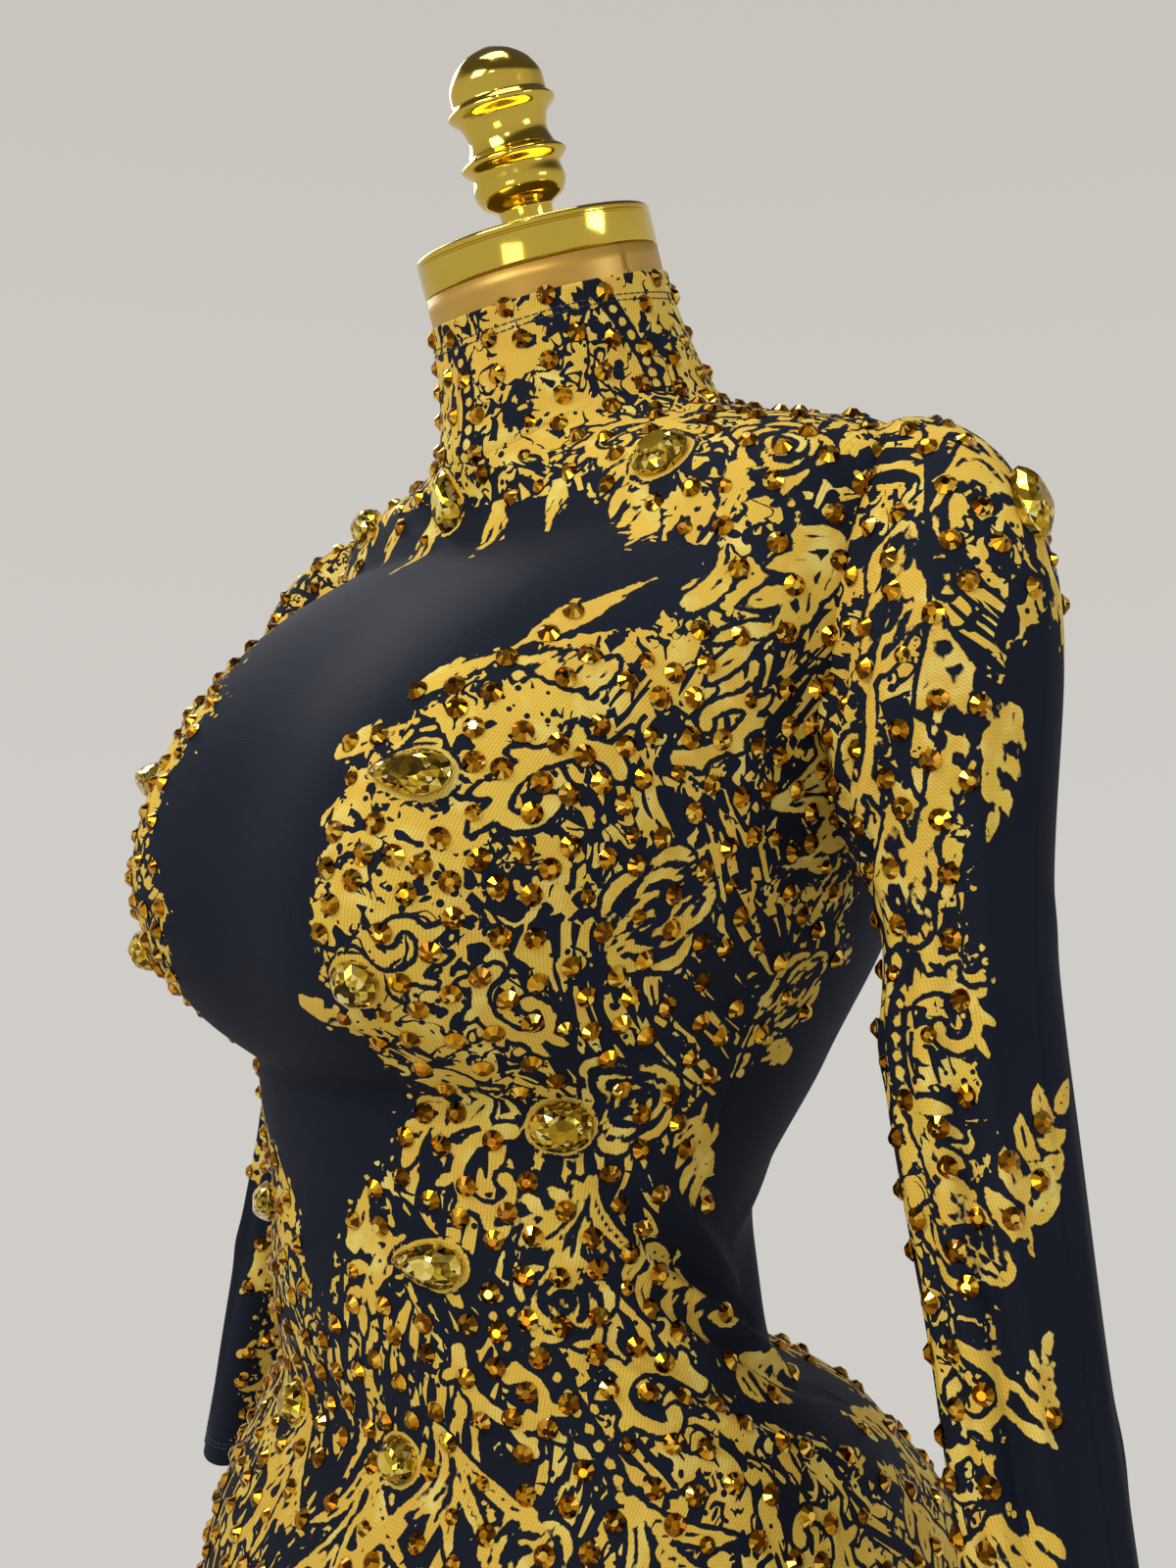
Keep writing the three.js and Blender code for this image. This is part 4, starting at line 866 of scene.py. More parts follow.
# Ornaments of a sleeve: size, turn in degrees, place, turn of the motif.
SLEEVE_MOTIFS = place_motifs({
    Rose: (
        (18, 74, 0.34, 0), (15, 100, 0.9, 0), (15, 70, 1.3, 0), (14, 96, 1.66, 0)),
    Scroll: (
        (20, 20, 0.3, 60), (20, 110, 0.5, 140), (17, 66, 1.08, 30), (16, 92, 1.46, 100),
        (16, 70, 1.84, 60), (18, 340, 0.5, 200)),
    Spray: (
        (40, 30, 0.76, 170), (52, 16, 1.24, 20), (30, 34, 1.46, 0), (34, 62, 0.76, 200),
        (34, 84, 1.2, 160), (34, 60, 1.62, 190), (44, 340, 0.34, 190), (36, 312, 0.3, 200)),
    Fan: (
        (40, 2, 0.2, 200), (36, 330, 0.48, 180), (40, 96, 0.7, 180), (36, 78, 1.56, 180),
        (36, 60, 0.5, 170)),
    Beads: (
        (60, 100, 1.1, 0), (50, 46, 0.35, 20), (50, 84, 1.76, 0))})


class Printer:
    """Draws the ornaments on the canvases, with a fixed seed for the small differences."""

    outline: float = 1.9

    def __init__(self) -> None:
        """Starts the seeded generator."""
        self.rng = np.random.default_rng(41)

    def motif(self, canvases: list[Canvas], motif: Motif, chart: Callable, turn: float,
              flip: bool) -> None:
        """Draws one motif.

        Args:
            canvases: the grids that it may reach.
            motif: the ornament.
            chart: gives angles and heights for millimetres across and up from its middle.
            turn: degrees, anticlockwise as seen from outside.
            flip: whether it is mirrored.
        """
        c, s = math.cos(turn * DEG), math.sin(turn * DEG)
        by_layer: dict[Layer, list[Pair]] = {}
        drawn = motif.strokes(self.rng)
        if motif.outlined:
            drawn += [Stroke(item.points, item.radii + self.outline, Layer.INK)
                      for item in drawn if item.layer is Layer.GILT]
        for item in drawn:
            x, y = item.points.T
            u, v = x * c - y * s, x * s + y * c
            place = np.stack([-u if flip else u, v], 1)
            by_layer.setdefault(item.layer, []).append((place, item.radii))
        for layer, items in by_layer.items():
            place = np.concatenate([p for p, _ in items])
            radii = np.concatenate([r for _, r in items])
            angle, height = chart(place[:, 0], place[:, 1])
            for canvas in canvases:
                canvas.paint(angle, height, radii, layer)

    def on_trunk(self, canvases: list[Canvas], motif: Motif, degrees: float, height: float,
                 turn: float, flip: bool) -> None:
        """Draws a motif on the trunk or collar, at degrees from the front and a height."""
        a = degrees * DEG
        here = THE_BODY.point(a, height)
        across, up = stretch(THE_BODY.point, a, height, SMALL_RISE)
        u_axis, v_axis, _ = tangents(here, THE_BODY.point(a + SMALL_TURN, height),
                                     THE_BODY.point(a, height + SMALL_RISE))
        exact = isinstance(motif, Halo) or (height > CHEST_TOP - 20 and abs(degrees) < 45)

        def chart(u: Array, v: Array) -> Pair:
            """Returns angles and heights."""
            if exact:
                return THE_BODY.nearest(here + u[:, None] * u_axis + v[:, None] * v_axis, a, height)
            return a + u / across, height + v / up

        self.motif(canvases, motif, chart, turn, flip)


# ------------------------------------------------------------------ colours and nodes
def linear(code: str) -> tuple[float, float, float, float]:
    """Returns an sRGB hex colour as linear values."""
    parts = [int(code[i:i + 2], 16) / 255 for i in (1, 3, 5)]
    r, g, b = (v / 12.92 if v <= 0.04045 else ((v + 0.055) / 1.055) ** 2.4 for v in parts)
    return r, g, b, 1.0


def add(tree: Tree, kind: str, settings: dict | None = None,
        links: dict | None = None) -> Node:
    """Adds a node with its settings and links.

    Args:
        tree: the node tree.
        kind: the node's type name.
        settings: attributes by name, and input values by the input's name or number.
        links: output sockets, or nodes for their first output, by the input's name or number.

    Returns:
        The node.
    """
    made = tree.nodes.new(kind)
    for name, value in (settings or {}).items():
        if isinstance(name, str) and hasattr(made, name):
            setattr(made, name, value)
        else:
            made.inputs[name].default_value = value
    feed(tree, made, links or {})
    return made


def feed(tree: Tree, node: Node, values: dict) -> None:
    """Gives a node's inputs, by name or number, their links or their fixed values."""
    for name, value in values.items():
        if isinstance(value, Node):
            value = value.outputs[0]
        if isinstance(value, Socket):
            tree.links.new(value, node.inputs[name])
        else:
            node.inputs[name].default_value = value


def mix_colours(tree: Tree, share: object, first: object, second: object) -> Socket:
    """Adds a colour mix of two colours or sockets and returns its result."""
    return add(tree, "ShaderNodeMix", {"data_type": "RGBA"}, {0: share, 6: first, 7: second}).outputs[2]


def calculate(tree: Tree, operation: str, *terms: object) -> Socket:
    """Adds a math node of numbers or sockets and returns its result."""
    return add(tree, "ShaderNodeMath", {"operation": operation}, dict(enumerate(terms))).outputs[0]


def noise(tree: Tree, place: object, scale: float, detail: float = 2.0,
          distortion: float = 0.0) -> Socket:
    """Adds noise at places and returns its value."""
    return add(tree, "ShaderNodeTexNoise", {"Scale": scale, "Detail": detail, "Distortion": distortion},
               {"Vector": place}).outputs["Fac"]


def remap(tree: Tree, source: object, *limits: float) -> Socket:
    """Adds a map of a value from two limits to two others, clamped, and returns its result."""
    return add(tree, "ShaderNodeMapRange", dict(enumerate(limits, 1)), {0: source}).outputs[0]


def bump(tree: Tree, height: object, strength: float, distance: float) -> Node:
    """Adds a bump of a height, its distance in metres."""
    return add(tree, "ShaderNodeBump", {"Strength": strength, "Distance": distance}, {"Height": height})


def fill_ramp(ramp: Node, tones: tuple[tuple[float, str], ...]) -> None:
    """Puts colours on a ramp at their places."""
    points = ramp.color_ramp.elements
    while len(points) < len(tones):
        points.new(0.5)
    for point, (at, code) in zip(points, tones):
        point.position = at
        point.color = linear(code)


def start_material(name: str) -> tuple[bpy.types.Material, Tree, Node]:
    """Returns a new node material with its tree and its principled shader."""
    material = bpy.data.materials.new(name)
    material.use_nodes = True
    tree = material.node_tree
    return material, tree, next(n for n in tree.nodes if n.type == "BSDF_PRINCIPLED")


# ------------------------------------------------------------------ finishes
@dataclass(frozen=True)
class PrintedKnit:
    """Warp-knit polyester with elastane, dyed by a sublimation print: smooth face, satin glow."""

    name: str = "printed_stretch_knit"
    navy: str = "#131721"
    navy_light: str = "#1B202C"
    gold: str = "#D4B94A"
    gold_orange: str = "#CCA246"
    gold_lime: str = "#DDD078"
    wale: float = 1.35      # mm; the real 0.7 mm is drawn coarser so that it shows
    wave_scale: ClassVar[float] = 0.314     # wave texture's scale for one ridge in each unit
    soft: ClassVar[float] = 0.14            # mm over which a print's edge fades
    thinnest: ClassVar[float] = 0.024       # share of the noise below which no line is printed

    def make(self) -> bpy.types.Material:
        """Returns the material."""
        material, tree, shader = start_material(self.name)
        place = add(tree, "ShaderNodeTexCoord").outputs["Object"]

        def cloud(size: float, detail: float = 1.0, distortion: float = 0.0) -> Socket:
            """Returns noise with blobs of a size in millimetres."""
            return noise(tree, place, 1 / (size * MM), detail, distortion)

        def wave(turn: float, distortion: float) -> Socket:
            """Returns the ridges of the knit that run at a turn in degrees."""
            turned = add(tree, "ShaderNodeMapping", {"Rotation": (0, 0, turn * DEG)}, {"Vector": chart})
            return add(tree, "ShaderNodeTexWave", {"Scale": self.wave_scale / (self.wale * MM),
                       "Distortion": distortion, "Detail": 0.0}, {"Vector": turned}).outputs["Fac"]

        chart = add(tree, "ShaderNodeUVMap", {"uv_map": "cloth"})
        cloth = mix_colours(tree, cloud(70), linear(self.navy), linear(self.navy_light))
        cloth = self.print_over(tree, cloth, chart, place, cloud)
        rib = wave(13, 0.5)
        loops = calculate(tree, "MULTIPLY_ADD", wave(96, 1.0), 0.35, rib)
        # The knit's ridges also scale the colour from 0.8 to 1.1: painted shade in the grooves between
        # the loops and painted light on their tops.
        light = remap(tree, loops, 0.0, 1.35, 0.8, 1.1)
        relief = calculate(tree, "MULTIPLY_ADD", cloud(0.9), 0.35, loops)
        feed(tree, shader, {
            "Base Color": add(tree, "ShaderNodeVectorMath", {"operation": "SCALE"},
                              {0: cloth, "Scale": light}),
            "Normal": bump(tree, relief, 0.4, 0.00024),
            "Roughness": remap(tree, rib, 0.0, 1.0, 0.6, 0.72), "IOR": 1.5,
            "Sheen Weight": 0.01, "Sheen Roughness": 0.35, "Sheen Tint": linear("#C8D4FF"),
            "Specular IOR Level": 0.06, "Specular Tint": linear("#DCE6FF")})
        return material

    def print_over(self, tree: Tree, cloth: Socket, chart: Node,
                   place: Socket, cloud: Callable) -> Socket:
        """Returns the cloth's colour with the gold print on it.

        Args:
            tree: the material's nodes.
            cloth: colour of the bare cloth.
            chart: the run across and up the cloth.
            place: the place in space.
            cloud: gives noise for a size in millimetres, a detail and a distortion.
        """
        sums = partial(calculate, tree)
        fields = {layer: add(tree, "ShaderNodeAttribute",
                             {"attribute_name": layer.value}).outputs["Fac"] for layer in Layer}
        shade = fields[Layer.SHADE]
        ragged = sums("SUBTRACT", cloud(3.6, 2), 0.5)
        broken = sums("SUBTRACT", cloud(10, 2, 0.6), 0.5)

        def inside(value: Socket, rough: float) -> Socket:
            """Returns 1 inside a layer, with a ragged edge."""
            bent = sums("MULTIPLY_ADD", ragged, rough, value)
            return remap(tree, bent, self.soft, -self.soft, 0.0, 1.0)

        def outside(value: Socket) -> Socket:
            """Returns one less the value."""
            return sums("SUBTRACT", 1.0, value)

        def streaks(turn: float) -> Socket:
            """Returns noise drawn out into feathery strokes along the cloth."""
            drawn = add(tree, "ShaderNodeMapping", {"Rotation": (0, 0, turn * DEG)}, {"Vector": chart})
            flow = add(tree, "ShaderNodeMapping", {"Scale": (1, 0.22, 1)}, {"Vector": drawn})
            return noise(tree, flow, 1 / (5.4 * MM), 1.5, 0.5)

        edge = sums("MULTIPLY_ADD", broken, 34.0, fields[Layer.ZONE])
        zone = inside(edge, 7.0)
        # Thin lines, drawn where noise is near its middle; those too thin to print are left out.
        squiggle = sums("ABSOLUTE", sums("SUBTRACT", cloud(12.5, 1.6, 1.3), 0.5))
        patch = sums("SUBTRACT", cloud(26), 0.5)
        wide = sums("MULTIPLY_ADD", shade, 0.066, sums("MULTIPLY_ADD", patch, 0.3, 0.016))
        wide = sums("MULTIPLY", wide, sums("GREATER_THAN", wide, self.thinnest))
        lines = sums("LESS_THAN", squiggle, wide)
        # Feathery strokes, in patches of two directions.
        feathers = mix_colours(tree, sums("GREATER_THAN", cloud(55), 0.5), streaks(12), streaks(-32))
        feathers = sums("GREATER_THAN", feathers, sums("MULTIPLY_ADD", shade, -0.11, 0.57))
        choice = sums("GREATER_THAN", sums("MULTIPLY_ADD", shade, 0.4, cloud(34)), 0.74)
        flow = sums("MULTIPLY", feathers, choice)
        still = sums("MULTIPLY", lines, outside(choice))
        # Blots and dots.
        blotch = sums("GREATER_THAN", cloud(6.5, 0.6, 1.0), sums("MULTIPLY_ADD", shade, -0.07, 0.64))
        cells = add(tree, "ShaderNodeTexVoronoi", {"Scale": 1 / (6.8 * MM), "Randomness": 1.0},
                    {"Vector": place}).outputs["Distance"]
        dots = sums("LESS_THAN", cells, sums("MULTIPLY", cloud(18), 0.36))
        dark = sums("MAXIMUM", sums("MAXIMUM", flow, still), sums("MAXIMUM", blotch, dots))
        islands = sums("MULTIPLY", sums("LESS_THAN", cells, 0.2), sums("LESS_THAN", edge, 5.0))
        ground = sums("MAXIMUM", sums("MULTIPLY", zone, outside(dark)),
                      sums("MULTIPLY", islands, outside(zone)))
        ground = sums("MULTIPLY", ground, outside(inside(fields[Layer.INK], 1.6)))
        mask = sums("MULTIPLY", sums("MAXIMUM", ground, inside(fields[Layer.GILT], 2.0)),
                    outside(inside(fields[Layer.LINE], 1.0)))
        warm = mix_colours(tree, cloud(24), linear(self.gold_orange), linear(self.gold))
        pale = remap(tree, cloud(15, 2), 0.52, 0.72, 0.0, 0.8)
        return mix_colours(tree, mask, cloth, mix_colours(tree, pale, warm, linear(self.gold_lime)))


@dataclass(frozen=True)
class Plated:
    """Brass with a polished gold plating: mirror-like with faint handling marks."""

    name: str = "polished_gold_plating"
    colour: str = "#DEC255"
    deep: str = "#CBAC3E"
    roughness: float = 0.09

    def make(self) -> bpy.types.Material:
        """Returns the material."""
        material, tree, shader = start_material(self.name)
        place = add(tree, "ShaderNodeTexCoord").outputs["Object"]
        feed(tree, shader, {
            "Base Color": mix_colours(tree, noise(tree, place, 40.0, 3.0), linear(self.colour),
                                      linear(self.deep)),
            "Roughness": remap(tree, noise(tree, place, 900.0), 0.0, 1.0, self.roughness * 0.8,
                               self.roughness * 1.5),
            "Metallic": 1.0})
        return material


@dataclass(frozen=True)
class CutGlass:
    """Foil-backed leaded glass: every facet shows another part of the foil behind it; the facets'
    random dark to bright tones are painted reflections and glints over the glass's own colour.
    """

    name: str
    tones: tuple[tuple[float, str], ...]
    grain: float            # mm over which the painted reflection tone changes from facet to facet
    metallic: float = 0.85
    roughness: float = 0.06

    def make(self) -> bpy.types.Material:
        """Returns the material."""
        material, tree, shader = start_material(self.name)
        place = add(tree, "ShaderNodeTexCoord").outputs["Object"]
        cells = add(tree, "ShaderNodeTexVoronoi", {"Scale": 1 / (self.grain * MM)}, {"Vector": place})
        value = add(tree, "ShaderNodeSeparateColor", {}, {0: cells.outputs["Color"]}).outputs[0]
        # Each facet's random value picks a tone from dark to bright on the ramp: painted reflections
        # and glints of the foil.
        facet = add(tree, "ShaderNodeAttribute", {"attribute_name": "tone"}).outputs["Fac"]
        value = calculate(tree, "FRACT", calculate(tree, "MULTIPLY_ADD", value, 0.3, facet))
        ramp = add(tree, "ShaderNodeValToRGB", {}, {0: value})
        fill_ramp(ramp, self.tones)
        feed(tree, shader, {"Base Color": ramp, "Metallic": self.metallic, "Roughness": self.roughness,
                            "Coat Weight": 0.06, "Coat Roughness": 0.02, "Coat IOR": 1.6})
        return material


@dataclass(frozen=True)
class Plain:
    """Even surface with a fine grain, for lacquer, nylon, thread, steel and a painted floor."""

    name: str
    colour: str
    other: str
    roughness: float
    grain: float            # mm
    relief: float = 0.0001
    metallic: float = 0.0
    stretch: tuple[float, float, float] = (1, 1, 1)

    def make(self) -> bpy.types.Material:
        """Returns the material."""
        material, tree, shader = start_material(self.name)
        place = add(tree, "ShaderNodeTexCoord").outputs["Object"]
        drawn = add(tree, "ShaderNodeMapping", {"Scale": self.stretch}, {"Vector": place})
        grain = noise(tree, drawn, 1 / (self.grain * MM), 3.0)
        feed(tree, shader, {
            "Base Color": mix_colours(tree, noise(tree, place, 14.0), linear(self.colour),
                                      linear(self.other)),
            "Roughness": remap(tree, grain, 0.0, 1.0, self.roughness * 0.85,
                               min(1.0, self.roughness * 1.15)),
            "Normal": bump(tree, grain, 0.3, self.relief),
            "Metallic": self.metallic})
        return material


# Glass ramps from near-black to near-white: the glass's own amber and topaz with painted dark
# reflections and painted glints on the facets.
CRYSTAL = CutGlass("topaz_foiled_glass", ((0.0, "#2E2206"), (0.25, "#765A0E"), (0.5, "#BC941E"),
                                          (0.76, "#E6C63C"), (1.0, "#FFF2A0")), 3.0, 0.88, 0.06)
STRASS = CutGlass("amber_strass_glass", ((0.0, "#2A1600"), (0.3, "#744600"), (0.56, "#B4760A"),
                                         (0.8, "#E8AA20"), (1.0, "#FFE068")), 2.6, 0.97, 0.1)
FORM_SKIN = Plain("form_matte_gold_lacquer", "#BA9442", "#AE8838", 0.4, 0.8, 0.00005, 0.45)
NYLON = Plain("zip_nylon_tape", "#14161D", "#1B1E27", 0.62, 0.5, 0.0002)
COIL = Plain("zip_nylon_coil", "#0F1016", "#181A22", 0.38, 0.6)
THREAD = Plain("navy_sewing_thread", "#20243A", "#2A2F48", 0.6, 0.4)
STEEL = Plain("brushed_steel", "#9C9C9E", "#8C8C90", 0.28, 0.5, 0.00004, 1.0, (1, 1, 14))


# ------------------------------------------------------------------ meshes
def new_object(name: str, data: bpy.types.ID) -> bpy.types.Object:
    """Returns a new object that is in the scene."""
    made = bpy.data.objects.new(name, data)
    bpy.context.scene.collection.objects.link(made)
    return made


class Workshop:
    def __init__(self) -> None:
        """Finds the shift from the pattern's own millimetres to the frame."""
        low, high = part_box("stand_base")
        self.shift = np.array(((low.x + high.x) / 2 / MM, (low.y + high.y) / 2 / MM - BASE_Y, 0))
        self.finishes: dict[str, bpy.types.Material] = {}

    def finish(self, look: PrintedKnit | Plated | CutGlass | Plain) -> bpy.types.Material:
        """Returns the finish's material, made once."""
        if look.name not in self.finishes:
            self.finishes[look.name] = look.make()
        return self.finishes[look.name]

    def metres(self, points: Array) -> Array:
        """Returns pattern points in the frame's metres."""
        return (points + self.shift) * MM

    def piece(self, name: str, points: Array, faces: list, look: object, slot: str,
              smooth: bool = True, replaces: tuple[str, ...] = ()) -> bpy.types.Object:
        """Makes a piece that rides on the garment.

        Args:
            name: name of the piece.
            points: vertices in pattern millimetres.
            faces: vertex numbers of each face, outward.
            look: finish.
            slot: not used.
            smooth: whether its faces are shaded smooth.
            replaces: CAD nodes that it stands for.

        Returns:
            The object.
        """
        mesh = bpy.data.meshes.new(name)
        mesh.from_pydata(self.metres(np.asarray(points)).tolist(), [], faces)
        mesh.polygons.foreach_set("use_smooth", [smooth] * len(mesh.polygons))
        mesh.update()
        piece = new_object(name, mesh)
        mesh.materials.append(self.finish(look))
        self.declare(piece, replaces)
        return piece

    def declare(self, piece: bpy.types.Object, replaces: tuple[str, ...] = ()) -> None:
        """Lets a piece ride on the garment, for its CAD nodes."""
        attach(piece, BODY)
        if replaces:
            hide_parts(*replaces)

    def lathe(self, outline: list[tuple[float, float]], sides: int,
              place: Callable[[Array, Array], Array]) -> tuple[Array, list]:
        """Returns a turned shape.

        Args:
            outline: radius and height corners, from the foot up.
            sides: corners of each ring.
            place: gives points for radii times unit circle and heights.

        Returns:
            The points and the faces, closed on the axis at both ends.
        """
        t = np.arange(sides) * 2 * math.pi / sides
        rings = [place(polar(r, t), np.full(sides, float(h))) for r, h in outline]
        ends = [place(np.zeros((1, 2)), np.array([float(outline[k][1])])) for k in (0, -1)]
        return np.concatenate(rings + ends), capped_tube(len(rings), sides)


class SheetBuilder:
    """Joins blocks of a canvas into one cloth mesh with its print and its knit direction."""

    # Steps of a turned edge, out past the edge and inward, in millimetres; two of them are printed.
    hem_steps = ((0.35, -0.25), (0.3, -0.8), (-0.6, -1.05), (-6.0, -1.1), (-12.0, -1.1))
    hem_printed = 2
    hem_run = 1.5
    widest_share = 0.96     # most of its cut rectangle that a piece may fill

    def __init__(self) -> None:
        """Starts empty."""
        self.points: list[Array] = []
        self.uvs: list[Array] = []
        self.layers: dict[Layer, list[Array]] = {layer: [] for layer in Layer}
        self.faces: list[tuple[int, ...]] = []
        self.count = 0

    def block(self, points: Array, uv: Array, layers: dict[Layer, Array]) -> Array:
        """Adds a grid of vertices and returns their numbers."""
        rows, columns = points.shape[:2]
        numbers = self.count + np.arange(rows * columns).reshape(rows, columns)
        self.points.append(points.reshape(-1, 3))
        self.uvs.append(uv.reshape(-1, 2))
        for layer in Layer:
            self.layers[layer].append(layers[layer].reshape(-1))
        self.count += rows * columns
        return numbers

    def quads(self, numbers: Array, flip: bool = False) -> None:
        """Adds the faces between rows and columns of vertex numbers."""
        a, b = numbers[:-1, :-1], numbers[:-1, 1:]
        c, d = numbers[1:, 1:], numbers[1:, :-1]
        order = (a, d, c, b) if flip else (a, b, c, d)
        self.faces += list(zip(*(v.reshape(-1).tolist() for v in order)))

    def hem(self, canvas: Canvas, uv: Array, numbers: Array, at_top: bool) -> Array:
        """Adds rows that fold an open edge inward.

        Args:
            canvas: the grid.
            uv: its run across and up.
            numbers: its vertex numbers.
            at_top: whether the edge is the last row.

        Returns:
            The vertex numbers of the rows, starting on the edge.
        """
        edge, before = (-1, -2) if at_top else (0, 1)
        p, n = canvas.points[edge], canvas.normals[edge]
        out = unit(p - canvas.points[before])
        points = np.stack([p + out * along + n * inward for along, inward in self.hem_steps])
        runs = np.stack([uv[edge] + np.array((0, self.hem_run * (k + 1))) for k in range(len(points))])
        layers = {layer: np.stack([values[edge]] * self.hem_printed + [
            np.full_like(values[edge], FAR * 3)] * (len(points) - self.hem_printed))
            for layer, values in canvas.layers.items()}
        return np.concatenate([numbers[edge][None], self.block(points, runs, layers)])

    def finish(self, shop: Workshop, name: str, held: str, look: PrintedKnit, replaces: tuple[str, ...],
               rests_on: tuple[str, ...], flat: tuple[float, float]) -> bpy.types.Object:
        """Args:
            shop: the workshop.
            name: name of the piece.
            held: not used.
            look: finish.
            replaces: CAD nodes that it stands for.
            rests_on: not used.
            flat: width and length of its cut, in millimetres.

        Returns:
            The object.
        """
        points = np.concatenate(self.points)
        uvs = np.concatenate(self.uvs)
        used = np.zeros(len(points), bool)
        used[np.fromiter((i for f in self.faces for i in f), int)] = True
        renumber = np.cumsum(used) - 1
        faces = [tuple(renumber[list(f)].tolist()) for f in self.faces]
        piece = shop.piece(name, points[used], faces, look, "stretch_knit", True, replaces)
        mesh = piece.data
        for layer in Layer:
            values = np.clip(np.concatenate(self.layers[layer])[used], -3 * FAR, 3 * FAR)
            made = mesh.attributes.new(layer.value, "FLOAT", "POINT")
            made.data.foreach_set("value", values.astype(np.float32))
        corners = np.empty(len(mesh.loops), np.int32)
        mesh.loops.foreach_get("vertex_index", corners)
        chart = mesh.uv_layers.new(name="cloth")
        chart.data.foreach_set("uv", (uvs[used][corners] * MM).astype(np.float32).ravel())
        area = sum(p.area for p in mesh.polygons)
        width, tall = flat[0] * MM, flat[1] * MM
        width = max(width, area / (self.widest_share * tall))
        LOG.info("%s: %d faces, cut %.2f x %.2f m, %.3f m2", name, len(faces), width, tall, area)
        return piece


def arc_lengths(points: Array) -> Array:
    """Returns the run across and up the cloth at each grid point, in millimetres."""
    across = np.linalg.norm(np.diff(points, axis=1), axis=2)
    up = np.linalg.norm(np.diff(points, axis=0), axis=2)
    u = np.concatenate([np.zeros((points.shape[0], 1)), np.cumsum(across, 1)], 1)
    v = np.concatenate([np.zeros((1, points.shape[1])), np.cumsum(up, 0)], 0)
    return np.stack([u - u[:, points.shape[1] // 2, None], v], -1)


